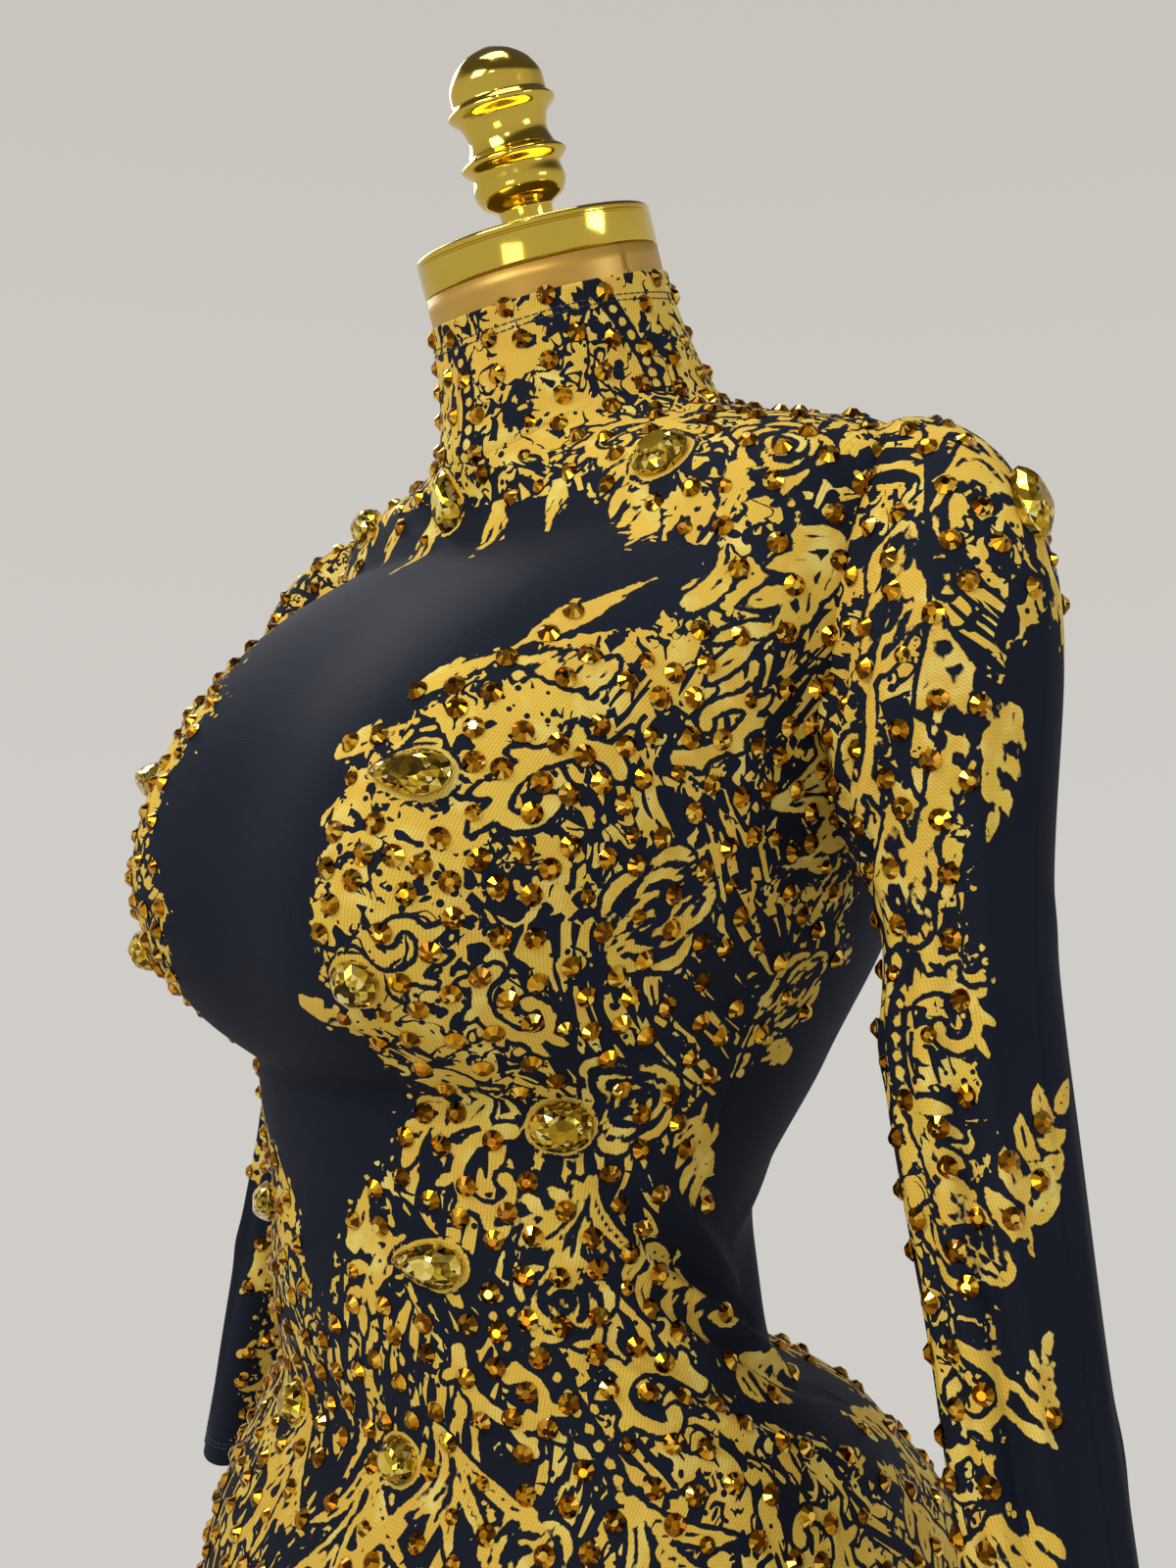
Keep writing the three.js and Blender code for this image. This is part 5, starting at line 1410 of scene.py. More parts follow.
# ------------------------------------------------------------------ the jumpsuit
class Jumpsuit:
    """All cloth panels with their print."""

    look = PrintedKnit()
    seam_fill: float = 2.6          # rise of the turnings under the seams, in millimetres
    fill_top: float = 1392.0        # height where the turnings of the side seams end
    fill_width: float = 11.0
    seam_dip: float = 0.35
    neck_dip: float = 0.7
    mm_to_radian: float = 120.0     # of the trunk at its side seams
    ground_scale: float = 1.9       # mm to a degree
    sleeve_columns: int = 88
    crease_width: float = 34.0      # degrees
    crease_height: float = 0.035    # share of the way between two places

    def __init__(self, shop: Workshop) -> None:
        """Lays out the grids of every panel.

        Args:
            shop: the workshop.
        """
        self.shop = shop
        self.printer = Printer()
        hips = np.linspace(CROTCH, ARMHOLE.bottom, 200)[:-1]
        _, hole = ARMHOLE.place(np.linspace(math.pi, 0, 74))
        yoke = np.linspace(ARMHOLE.top, NECK_SEAM, 40)[1:]
        self.heights = np.concatenate([hips, hole, yoke])
        share = np.arange(HALF_COLUMNS + 1) / HALF_COLUMNS
        front_side = ARMHOLE.side(self.heights, -1)[:, None]
        back_side = ARMHOLE.side(self.heights, 1)[:, None]
        front = np.concatenate([-front_side * share[::-1], (front_side * share)[:, 1:]], 1)
        back = back_side + (math.pi - back_side) * share
        self.front = self.trunk_canvas(front, self.heights, self.locate_front, -1)
        self.backs = {1: self.trunk_canvas(back, self.heights, self.locate_back(1), 1),
                      -1: self.trunk_canvas(-back[:, ::-1], self.heights, self.locate_back(-1), 1)}
        self.collar_heights = np.linspace(NECK_SEAM, COLLAR_TOP, COLLAR_ROWS)
        around = np.linspace(-math.pi, math.pi, 4 * HALF_COLUMNS + 1)
        around = np.broadcast_to(around, (COLLAR_ROWS, len(around)))
        self.collar = self.trunk_canvas(around, self.collar_heights, self.locate_collar, 0)
        self.legs = {side: self.leg_canvas(side) for side in (1, -1)}
        self.sleeves = {form.side: self.sleeve_canvas(form) for form in SLEEVES}

    def locate_front(self, angle: Array, height: Array) -> Pair:
        """Returns row and column on the front."""
        return row_at(height, self.heights), HALF_COLUMNS * (1 + angle / ARMHOLE.side(height, -1))

    def locate_back(self, side: int) -> Callable:
        """Returns the function that finds row and column on a back panel."""
        def find(angle: Array, height: Array) -> Pair:
            """Returns row and column."""
            seam = ARMHOLE.side(height, 1)
            turned = np.where(side * angle < -math.pi / 2, side * angle + 2 * math.pi, side * angle)
            column = HALF_COLUMNS * (turned - seam) / (math.pi - seam)
            return row_at(height, self.heights), column if side > 0 else HALF_COLUMNS - column
        return find

    def locate_collar(self, angle: Array, height: Array) -> Pair:
        """Returns row and column on the collar."""
        return row_at(height, self.collar_heights), (angle / math.pi + 1) * 2 * HALF_COLUMNS

    def trunk_canvas(self, angles: Array, heights: Array, locate: Callable, edge: int) -> Canvas:
        """Returns a canvas of the trunk with its folds and gold grounds.

        Args:
            angles: radians of every grid point.
            heights: heights of the rows.
            locate: gives row and column of a place.
            edge: -1 for the front, +1 for a back, 0 for the collar, which has no side seam.
        """
        level = np.broadcast_to(heights[:, None], angles.shape)
        points = THE_BODY.point(angles, level)
        relief = sum(f.height(angles / DEG, level) for f in FINE_FOLDS)
        relief = relief - self.neck_dip * np.exp(-((level - NECK_SEAM) / 1.6) ** 2)
        if edge:
            run = (np.abs(angles) - ARMHOLE.side(level, edge)) * self.mm_to_radian
            relief = relief - self.seam_dip * np.exp(-(run / 1.4) ** 2)
            high = (np.clip((level - ARMHOLE.bottom - 30) / 40, 0, 1)
                    * np.clip((self.fill_top - level) / 20, 0, 1))
            relief = relief + self.seam_fill * high * np.exp(-(run / self.fill_width) ** 2)
        middle = (np.abs(np.abs(angles) - math.pi) * 60) < ZIP_HALF * 3
        relief = np.where(middle & (level > ZIP_BOTTOM), 0.0, relief)
        points = points + grid_normals(points) * relief[..., None]
        canvas = Canvas(points, locate)
        grounds = (ground_distance(table, angles, level, self.ground_scale)
                   for table in (GROUND_FRONT, GROUND_BACK))
        canvas.layers[Layer.ZONE] = np.minimum(*grounds)
        ahead, beside = np.moveaxis(DARK_SHARE(level), -1, 0)
        turned = np.clip((np.abs(angles) / DEG - 46) / 24, 0, 1)
        canvas.layers[Layer.SHADE] = ahead + (beside - ahead) * turned
        return canvas

    def leg_canvas(self, side: int) -> Canvas:
        """Returns the canvas of one leg, its columns running round it from the centre front."""
        form = LegForm()
        side_seam = ARMHOLE.side(np.array([CROTCH]), -1)
        steps = np.arange(HALF_COLUMNS + 1)
        angles = np.concatenate([side_seam * steps[:-1] / HALF_COLUMNS,
                                 math.pi / 2 + math.pi / 2 * steps / HALF_COLUMNS])[::LEG_STRIDE]
        top = THE_BODY.point(angles, np.full_like(angles, CROTCH))
        turn = -form.front_turn + angles / DEG * (180 + 2 * form.front_turn) / 180
        k = np.arange(1, 2 * form.inner)
        share = k / (2 * form.inner)
        half = np.where(k <= form.inner, k / form.inner, (k - form.inner) / form.inner)
        y = np.where(k <= form.inner, top[-1, 1] + (form.inseam_y - top[-1, 1]) * half,
                     form.inseam_y + (top[0, 1] - form.inseam_y) * half)
        inner_top = np.stack([0 * y, y, CROTCH - form.sag * np.sin(math.pi * share)], 1)
        inner_turn = 180 + form.front_turn + share * (180 - 2 * form.front_turn)
        top = np.concatenate([top, inner_top])
        turn = np.concatenate([turn, inner_turn])
        inward = np.concatenate([np.zeros(len(angles)), np.sin(math.pi * share)])
        leaving = np.stack([inward, 0 * inward, 0.75 * inward - 1], 1) * form.pull
        first = form.section(turn, np.full_like(turn, form.top))
        blend = [cubic(top, leaving, first, np.array((0, 0, -form.pull)), np.full(len(turn), s))
                 for s in np.linspace(0, 1, 13)[:-1]]
        levels = np.linspace(form.top, HEM, 116)
        below = form.section(turn[None], np.broadcast_to(levels[:, None], (len(levels), len(turn))))
        points = np.concatenate([np.stack(blend), below])[::-1] * np.array((side, 1, 1))
        z = points[..., 2].mean(1)
        columns = np.arange(len(turn))

        def find(angle: Array, height: Array) -> Pair:
            """Returns row and column for a turn in radians and a height."""
            away = (angle / DEG + form.front_turn) % 360 - form.front_turn
            return row_at(height, z), np.interp(away, turn, columns)

        canvas = Canvas(points, find, wrap=True)
        if side < 0:
            canvas.normals = -canvas.normals
        canvas.layers[Layer.ZONE] = np.abs(turn[None] - 96 + 0 * points[..., 0]) * 0.9 - np.interp(
            points[..., 2], (HEM, 300, 420, 600, 770), (16, 10, 16, 34, 62))
        for motif, z0, at, tilt in LEG_MOTIFS:
            self.printer.motif([canvas], motif, lambda u, v: (at * DEG + u / LEG_RADIUS, z0 + v), tilt,
                               side < 0)
        return canvas

    def sleeve_canvas(self, form: SleeveForm) -> Canvas:
        """Returns the canvas of one sleeve, its columns running from the shoulder to the front."""
        places = np.concatenate([np.linspace(2, 1, 138)[:-1], np.linspace(1, 0, 52)])
        count = self.sleeve_columns
        turns = np.arange(count) * 2 * math.pi / count
        t, s = np.meshgrid(turns, places)
        points = form.point(t, s)
        deg = t / DEG
        relief = 2.4 * np.exp(-(degrees_off(deg, 40) / 7) ** 2) * np.clip((s - 0.55) / 0.3, 0, 1)
        for at, width, rise, start, end in SLEEVE_FOLDS:
            off = degrees_off(deg, at) / width
            along = np.sin(math.pi * np.clip((s - start) / (end - start), 0, 1)) ** 0.7
            relief = relief + rise * np.exp(-off * off) * along
        for at, place, tilt, rise in SLEEVE_CREASES:
            off = degrees_off(deg, at) / self.crease_width
            down = (s - place - tilt * off) / self.crease_height
            relief = relief + rise * np.exp(-off * off - down * down)
        relief = relief - self.seam_dip * np.exp(-(s / 0.012) ** 2)
        relief = relief + self.seam_fill * np.clip(0.9 + np.cos(t), 0, 1) * np.exp(-(s / 0.1) ** 2)

        def find(angle: Array, place: Array) -> Pair:
            """Returns row and column for a turn in radians and a place."""
            row = np.interp(place, places[::-1], np.arange(len(places))[::-1], left=-OUTSIDE,
                            right=OUTSIDE)
            return row, (angle % (2 * math.pi)) / (2 * math.pi) * count

        canvas = Canvas(points, find, wrap=True)
        if form.side > 0:
            canvas.normals = -canvas.normals
        canvas.points = points + canvas.normals * relief[..., None]
        first, last = np.moveaxis(form.ground(s), -1, 0)
        middle, half = (first + last) / 2, (last - first) / 2
        canvas.layers[Layer.ZONE] = (np.abs(degrees_off(deg, middle)) - half) * 0.5
        for motif, at, place, turn in SLEEVE_MOTIFS:
            if form.side < 0 and place > 0.8:
                at = at + 80 if at > 50 else at + 60
            across, up = stretch(form.point, at * DEG, place, SMALL_TURN)
            self.printer.motif([canvas], motif, lambda u, v: (at * DEG + u / across, place - v / up),
                               turn, form.side < 0)
        return canvas

    def draw(self) -> None:
        """Draws the trunk's ornaments and the halos of the large stones."""
        trunk = [self.front, self.backs[1], self.backs[-1], self.collar]
        for motif, degrees, height, turn in TRUNK_MOTIFS:
            for side in (1, -1):
                self.printer.on_trunk(trunk, motif, side * degrees, height, turn, side < 0)
        for degrees in COLLAR_BEADS:
            self.printer.on_trunk(trunk, Beads(60), degrees, NECK_SEAM + COLLAR_RISE / 2, 8, False)
        for _, cut, degrees, height, turn in trunk_stones():
            halo = Halo(cut.long / 2, cut.wide / cut.long, cut.point)
            self.printer.on_trunk(trunk, halo, degrees, height, turn, False)

    def build(self) -> None:
        """Makes every cloth piece."""
        self.draw()
        self.build_trunk_panel("front", self.front, None)
        self.build_trunk_panel("back_left", self.backs[1], 1)
        self.build_trunk_panel("back_right", self.backs[-1], -1)
        self.build_collar()
        for side, name in ((1, "left"), (-1, "right")):
            self.build_sleeve(side, name)

    def build_trunk_panel(self, name: str, canvas: Canvas, side: int | None) -> None:
        """Makes a front or back panel with its part of the legs.

        Args:
            name: CAD node that it stands for.
            canvas: its trunk grid.
            side: side of a back panel, None for the front.
        """
        sheet = SheetBuilder()
        uv = arc_lengths(canvas.points)
        points = canvas.points.copy()
        if side is not None:
            points = self.open_zip(points, side)
        trunk = sheet.block(points, uv, canvas.layers)
        sheet.quads(trunk)
        form = LegForm()
        columns = 2 * HALF_COLUMNS // LEG_STRIDE
        half = columns // 2
        for leg_side in (1, -1) if side is None else (side,):
            leg = self.legs[leg_side]
            runs = arc_lengths(leg.points)
            runs[..., 1] -= runs[-1:, :, 1]
            numbers = sheet.block(leg.points, runs, leg.layers)
            if side is None:
                chosen = np.r_[columns + form.inner:leg.points.shape[1], 0:half + 1]
                matched = np.arange(half + 1)
            else:
                chosen = np.r_[half:columns + form.inner + 1]
                matched = np.arange(half, columns + 1)
            flip = leg_side < 0
            sheet.quads(numbers[:-1, chosen], flip)
            upper, lower = numbers[-1], numbers[-2]
            inner = set(chosen.tolist()) - set(matched.tolist())
            for a, b in zip(chosen[:-1], chosen[1:]):
                if a in inner or b in inner:
                    face = (lower[a], lower[b], upper[b], upper[a])
                else:
                    trunk_row = self.trunk_columns(trunk, side, leg_side, a, b)
                    face = (lower[a], lower[b], *trunk_row[::-1])
                sheet.faces.append(tuple(int(i) for i in (face[::-1] if flip else face)))
            sheet.quads(sheet.hem(leg, runs, numbers, False)[:, chosen], not flip)
        width = 2 * CLOTH_WIDTH if side is None else CLOTH_WIDTH
        sheet.finish(self.shop, f"cloth_{name}", "stretched", self.look, (name,), ("form_body",),
                     (width, NECK_SEAM - HEM - 60))

    def trunk_columns(self, trunk: Array, side: int | None, leg_side: int, a: int, b: int) -> list[int]:
        """Returns the trunk's lowest vertices between two leg columns."""
        first, last = a * LEG_STRIDE, b * LEG_STRIDE
        if side is None:
            columns = [HALF_COLUMNS + leg_side * c for c in range(first, last + 1)]
        else:
            offset = [c - HALF_COLUMNS for c in range(first, last + 1)]
            columns = offset if leg_side > 0 else [HALF_COLUMNS - c for c in offset]
        return [int(trunk[0, c]) for c in columns]

    def open_zip(self, points: Array, side: int) -> Array:
        """Moves a back panel's centre edge off the zip."""
        edge = points[:, -1 if side > 0 else 0]
        above = np.clip((self.heights - ZIP_BOTTOM) / 4, 0, 1)
        edge[:, 0] = side * ZIP_HALF * above
        return points

    def build_collar(self) -> None:
        """Makes the collar with its turned top edge."""
        sheet = SheetBuilder()
        canvas = self.collar
        canvas.points[:, [0, -1], 0] = (-ZIP_HALF, ZIP_HALF)
        uv = arc_lengths(canvas.points)
        numbers = sheet.block(canvas.points, uv, canvas.layers)
        sheet.quads(numbers)
        sheet.quads(sheet.hem(canvas, uv, numbers, True))
        sheet.finish(self.shop, "cloth_collar", "stretched", self.look, ("collar",), ("form_body",),
                     COLLAR_CUT)

    def build_sleeve(self, side: int, name: str) -> None:
        """Makes a sleeve with its turned cuff."""
        sheet = SheetBuilder()
        canvas = self.sleeves[side]
        ring = np.r_[0:canvas.points.shape[1], 0]
        points = canvas.points[:, ring]
        uv = arc_lengths(points)
        numbers = sheet.block(points[:, :-1], uv[:, :-1], canvas.layers)
        sheet.quads(numbers[:, ring], side > 0)
        sheet.quads(sheet.hem(canvas, uv[:, :-1], numbers, False)[:, ring], side < 0)
        sheet.finish(self.shop, f"cloth_sleeve_{name}", "hung", self.look, (f"sleeve_{name}",),
                     ("cloth_front",), SLEEVE_CUT)


# Gold ground of each sleeve: place, first and last turn in degrees.
LEFT_GROUND = Table((
    (0, -90, 200), (0.3, -80, 190), (0.48, -66, 186), (0.56, -30, 182), (0.63, 16, 178),
    (0.72, 42, 172), (1.0, 50, 158), (1.2, 56, 148), (1.4, 66, 142), (1.7, 80, 138), (2.0, 92, 134)))
RIGHT_GROUND = Table((
    (0, -70, 200), (0.2, -60, 190), (0.36, -40, 184), (0.5, 10, 190), (0.7, 60, 200), (1.0, 120, 216),
    (1.3, 146, 230), (1.7, 150, 236), (2.0, 154, 236)))
SLEEVES = (
    SleeveForm(1, (187, 12, 37, 40, 1308, 1200, 0.3),
               ((1165, 197, 13, 31, 24, 1.8), (1120, 204, 9, 33, 21, 1.75),
                (1010, 226, 9, 30, 19, 1.75), (CUFF, 257, 8, 30, 18, 1.75)), LEFT_GROUND),
    SleeveForm(-1, (194, -2, 43, 56, 1328, 1200, 0.5),
               ((1165, 206, 6, 33, 24, 1.8), (1120, 218, 3, 33, 22, 1.75),
                (1010, 246, -4, 30, 20, 1.75), (CUFF, 280, -12, 30, 20, 1.75)), RIGHT_GROUND))

# Hanging folds of a sleeve: turn in degrees, width in degrees, rise, first and last place.
SLEEVE_FOLDS = (
    (62, 8, -4.6, 0.9, 1.98), (80, 9, 3.2, 0.8, 1.95), (100, 10, -2.0, 0.6, 1.7),
    (128, 13, -2.2, 0.6, 1.7), (10, 15, -1.6, 0.9, 1.98), (300, 16, 1.8, 0.6, 1.9),
    (250, 14, -2.2, 0.8, 1.8), (206, 14, 2.0, 0.6, 1.95), (340, 12, 1.3, 1.1, 1.9))
# Short creases across a sleeve: turn, place, tilt, rise.
SLEEVE_CREASES = (
    (108, 0.40, 0.11, 2.6), (118, 0.52, 0.13, -2.6), (104, 0.63, 0.12, 2.6), (122, 0.75, 0.06, -2.0),
    (92, 0.88, -0.06, 1.8), (150, 1.12, 0.05, 1.6), (230, 0.60, -0.10, 2.4), (240, 0.74, -0.09, -2.2),
    (226, 0.9, -0.04, 1.8), (60, 1.34, 0.05, 1.2), (200, 1.3, 0.06, 1.6), (70, 1.62, -0.05, 1.2),
    (290, 1.5, 0.05, 1.3), (20, 1.2, 0.04, 0.8), (330, 0.95, -0.05, 1.0))


# ------------------------------------------------------------------ repeated small pieces
class Item(Enum):
    """Small piece that is set many times."""

    STRASS = "flat-back strass, a cut cone on a thin girdle"
    STITCH = "single stitch"
    TOOTH = "turn of a nylon zip coil"


@dataclass(frozen=True)
class SetPieces:
    """Geometry Nodes tree that sets one item on each point, turned by the point's axes."""

    item: Item
    sides: int = 11
    seed: int = 7

    def tree(self, material: bpy.types.Material) -> Tree:
        """Returns the tree, with inputs for the item's sizes in metres."""
        tree = bpy.data.node_groups.new(f"set_{self.item.name.lower()}", "GeometryNodeTree")
        face = tree.interface
        face.new_socket("Points", in_out="INPUT", socket_type="NodeSocketGeometry")
        for name in ("Across", "Long", "High"):
            face.new_socket(name, in_out="INPUT", socket_type="NodeSocketFloat")
        face.new_socket("Pieces", in_out="OUTPUT", socket_type="NodeSocketGeometry")
        source = add(tree, "NodeGroupInput")
        across, long, high = (source.outputs[k] for k in ("Across", "Long", "High"))

        def share(size: Socket, part: float) -> Socket:
            """Returns a part of a size."""
            return calculate(tree, "MULTIPLY", size, part)

        def attribute(kind: str, name: str) -> Node:
            """Returns the node that reads an attribute of the points."""
            return add(tree, "GeometryNodeInputNamedAttribute", {"data_type": kind, "Name": name})

        radius = share(across, 0.5)
        if self.item is Item.STRASS:
            crown = add(tree, "GeometryNodeMeshCone", {"Vertices": self.sides}, {
                "Radius Top": share(radius, 0.4), "Radius Bottom": radius,
                "Depth": share(high, 0.8)})
            girdle = add(tree, "GeometryNodeMeshCone", {"Vertices": self.sides, "fill_type": "NONE"}, {
                "Radius Top": radius, "Radius Bottom": share(radius, 0.93),
                "Depth": share(high, 0.2)})
            move = add(tree, "ShaderNodeCombineXYZ", {}, {2: share(high, 0.2)})
            lifted = add(tree, "GeometryNodeTransform", {}, {"Geometry": crown, "Translation": move})
            shape = add(tree, "GeometryNodeJoinGeometry")
            for part in (girdle, lifted):
                feed(tree, shape, {0: part})
        else:
            corners = 6 if self.item is Item.STITCH else 5
            block = add(tree, "GeometryNodeMeshCylinder", {"Vertices": corners},
                        {"Radius": radius, "Depth": long})
            shape = add(tree, "GeometryNodeTransform", {"Rotation": (0, 90 * DEG, 0)},
                        {"Geometry": block})
        flat = add(tree, "GeometryNodeSetShadeSmooth", {"Shade Smooth": False}, {"Geometry": shape})
        stand = add(tree, "FunctionNodeAlignRotationToVector", {"axis": "Z"},
                    {"Vector": attribute("FLOAT_VECTOR", "axis")})
        turn = add(tree, "FunctionNodeAlignRotationToVector", {"axis": "X", "pivot_axis": "Z"},
                   {"Rotation": stand, "Vector": attribute("FLOAT_VECTOR", "along")})
        placed = add(tree, "GeometryNodeInstanceOnPoints", {}, {
            "Points": source.outputs["Points"], "Instance": flat, "Rotation": turn,
            "Scale": attribute("FLOAT", "size")})
        real = add(tree, "GeometryNodeRealizeInstances", {}, {"Geometry": placed})
        # A random value on each face, which the glass turns into its facet's painted reflection tone.
        tone = add(tree, "FunctionNodeRandomValue", {"data_type": "FLOAT", "Seed": self.seed})
        toned = add(tree, "GeometryNodeStoreNamedAttribute",
                    {"data_type": "FLOAT", "domain": "FACE", "Name": "tone"},
                    {"Geometry": real, "Value": tone.outputs[1]})
        dressed = add(tree, "GeometryNodeSetMaterial", {"Material": material}, {"Geometry": toned})
        add(tree, "NodeGroupOutput", {}, {0: dressed})
        return tree

    def make(self, shop: Workshop, name: str, points: Array, normals: Array, along: Array,
             sizes: tuple[float, float, float], look: object, slot: str,
             scale: Array | None = None) -> bpy.types.Object:
        """Sets the items and returns them as one plain mesh.

        Args:
            shop: the workshop.
            name: name of the piece.
            points: places in pattern millimetres.
            normals: direction that each item's top faces.
            along: direction of each item's length.
            sizes: across, long and high, in millimetres.
            look: finish.
            slot: not used.
            scale: size of each item against the others.
        """
        scale = np.ones(len(points)) if scale is None else scale
        cloud = bpy.data.meshes.new(name)
        cloud.from_pydata(shop.metres(points).tolist(), [], [])
        for label, values in (("axis", normals), ("along", along)):
            cloud.attributes.new(label, "FLOAT_VECTOR", "POINT").data.foreach_set(
                "vector", values.astype(np.float32).ravel())
        cloud.attributes.new("size", "FLOAT", "POINT").data.foreach_set(
            "value", scale.astype(np.float32))
        piece = new_object(name, cloud)
        modifier = piece.modifiers.new("set", "NODES")
        tree = self.tree(shop.finish(look))
        modifier.node_group = tree
        by_name = {s.name: s.identifier for s in tree.interface.items_tree if s.in_out == "INPUT"}
        for label, value in zip(("Across", "Long", "High"), sizes):
            modifier[by_name[label]] = value * MM
        piece.update_tag()
        bpy.context.view_layer.update()
        graph = bpy.context.evaluated_depsgraph_get()
        plain = bpy.data.meshes.new_from_object(piece.evaluated_get(graph))
        piece.modifiers.clear()
        piece.data = plain
        plain.name = name
        shop.declare(piece)
        LOG.info("%s: %d items, %d faces", name, len(points), len(plain.polygons))
        return piece


class Strass:
    """Small flat-back stones, scattered over the gold with a fixed seed."""

    cell: float = 20.0          # mm; wider than any gap between two stones
    large_share: float = 0.82
    small_size: float = 0.74
    sizes: tuple[float, float, float] = (8.0, 8.0, 2.7)

    def __init__(self, suit: Jumpsuit, keep_out: list[tuple[Array, float]]) -> None:
        """Keeps the cloth and the places of the large stones.

        Args:
            suit: the cloth.
            keep_out: middle and reach of each large stone.
        """
        self.suit = suit
        self.keep_out = keep_out
        self.rng = np.random.default_rng(12)

    def scatter(self, canvas: Canvas, spacing: Callable[[Array], float], tries: int) -> tuple:
        """Returns places, normals and sizes of stones on the gold of a canvas."""
        rows, columns = canvas.points.shape[:2]
        row = self.rng.uniform(1, rows - 2, tries)
        column = self.rng.uniform(1, columns - 2, tries)
        points = canvas.at(row, column, canvas.points)
        normals = unit(canvas.at(row, column, canvas.normals))
        zone, gilt = (canvas.at(row, column, canvas.layers[layer][..., None])[:, 0]
                      for layer in (Layer.ZONE, Layer.GILT))
        wanted = (zone < 0) | (gilt < -0.7)
        chance = self.rng.uniform(0, 1, tries)
        cells: dict[tuple[int, int, int], list[Array]] = {}
        kept, sizes = [], []
        for i in np.nonzero(wanted)[0]:
            p = points[i]
            gap = spacing(p) * (0.86 + 0.4 * chance[i])
            if any(np.linalg.norm(p - q) < r for q, r in self.keep_out):
                continue
            key = tuple((p // self.cell).astype(int))
            near = [q for a in (-1, 0, 1) for b in (-1, 0, 1) for c in (-1, 0, 1)
                    for q in cells.get((key[0] + a, key[1] + b, key[2] + c), ())]
            if near and min(np.linalg.norm(p - q) for q in near) < gap:
                continue
            cells.setdefault(key, []).append(p)
            kept.append(i)
            sizes.append(1.0 if chance[i] < self.large_share else self.small_size)
        return points[kept], normals[kept], np.array(sizes)

    def build(self, shop: Workshop) -> None:
        """Makes the stones of the trunk and of each sleeve."""
        def front_gap(p: Array) -> float:
            """Returns the spacing on the front, closer on the bust."""
            return 10.4 if 1130 < p[2] < 1262 else 12.6 if p[2] < 1300 else 14.5

        suit = self.suit
        groups = {"front": [(suit.front, front_gap, 16000)],
                  "back": [(suit.backs[1], lambda p: 16.5, 4500),
                           (suit.backs[-1], lambda p: 16.5, 4500), (suit.collar, lambda p: 14.5, 2500)],
                  "sleeve_left": [(suit.sleeves[1], lambda p: 13.5, 3200)],
                  "sleeve_right": [(suit.sleeves[-1], lambda p: 12.0, 3200)],
                  "legs": [(suit.legs[1], lambda p: 20.0, 1200), (suit.legs[-1], lambda p: 20.0, 1200)]}
        for name, parts in groups.items():
            found = [self.scatter(*part) for part in parts]
            points, normals, sizes = (np.concatenate(v) for v in zip(*found))
            spin = unit(self.rng.normal(size=points.shape))
            SetPieces(Item.STRASS).make(shop, f"strass_{name}", points, normals, spin, self.sizes,
                                        STRASS, "crystal", sizes)


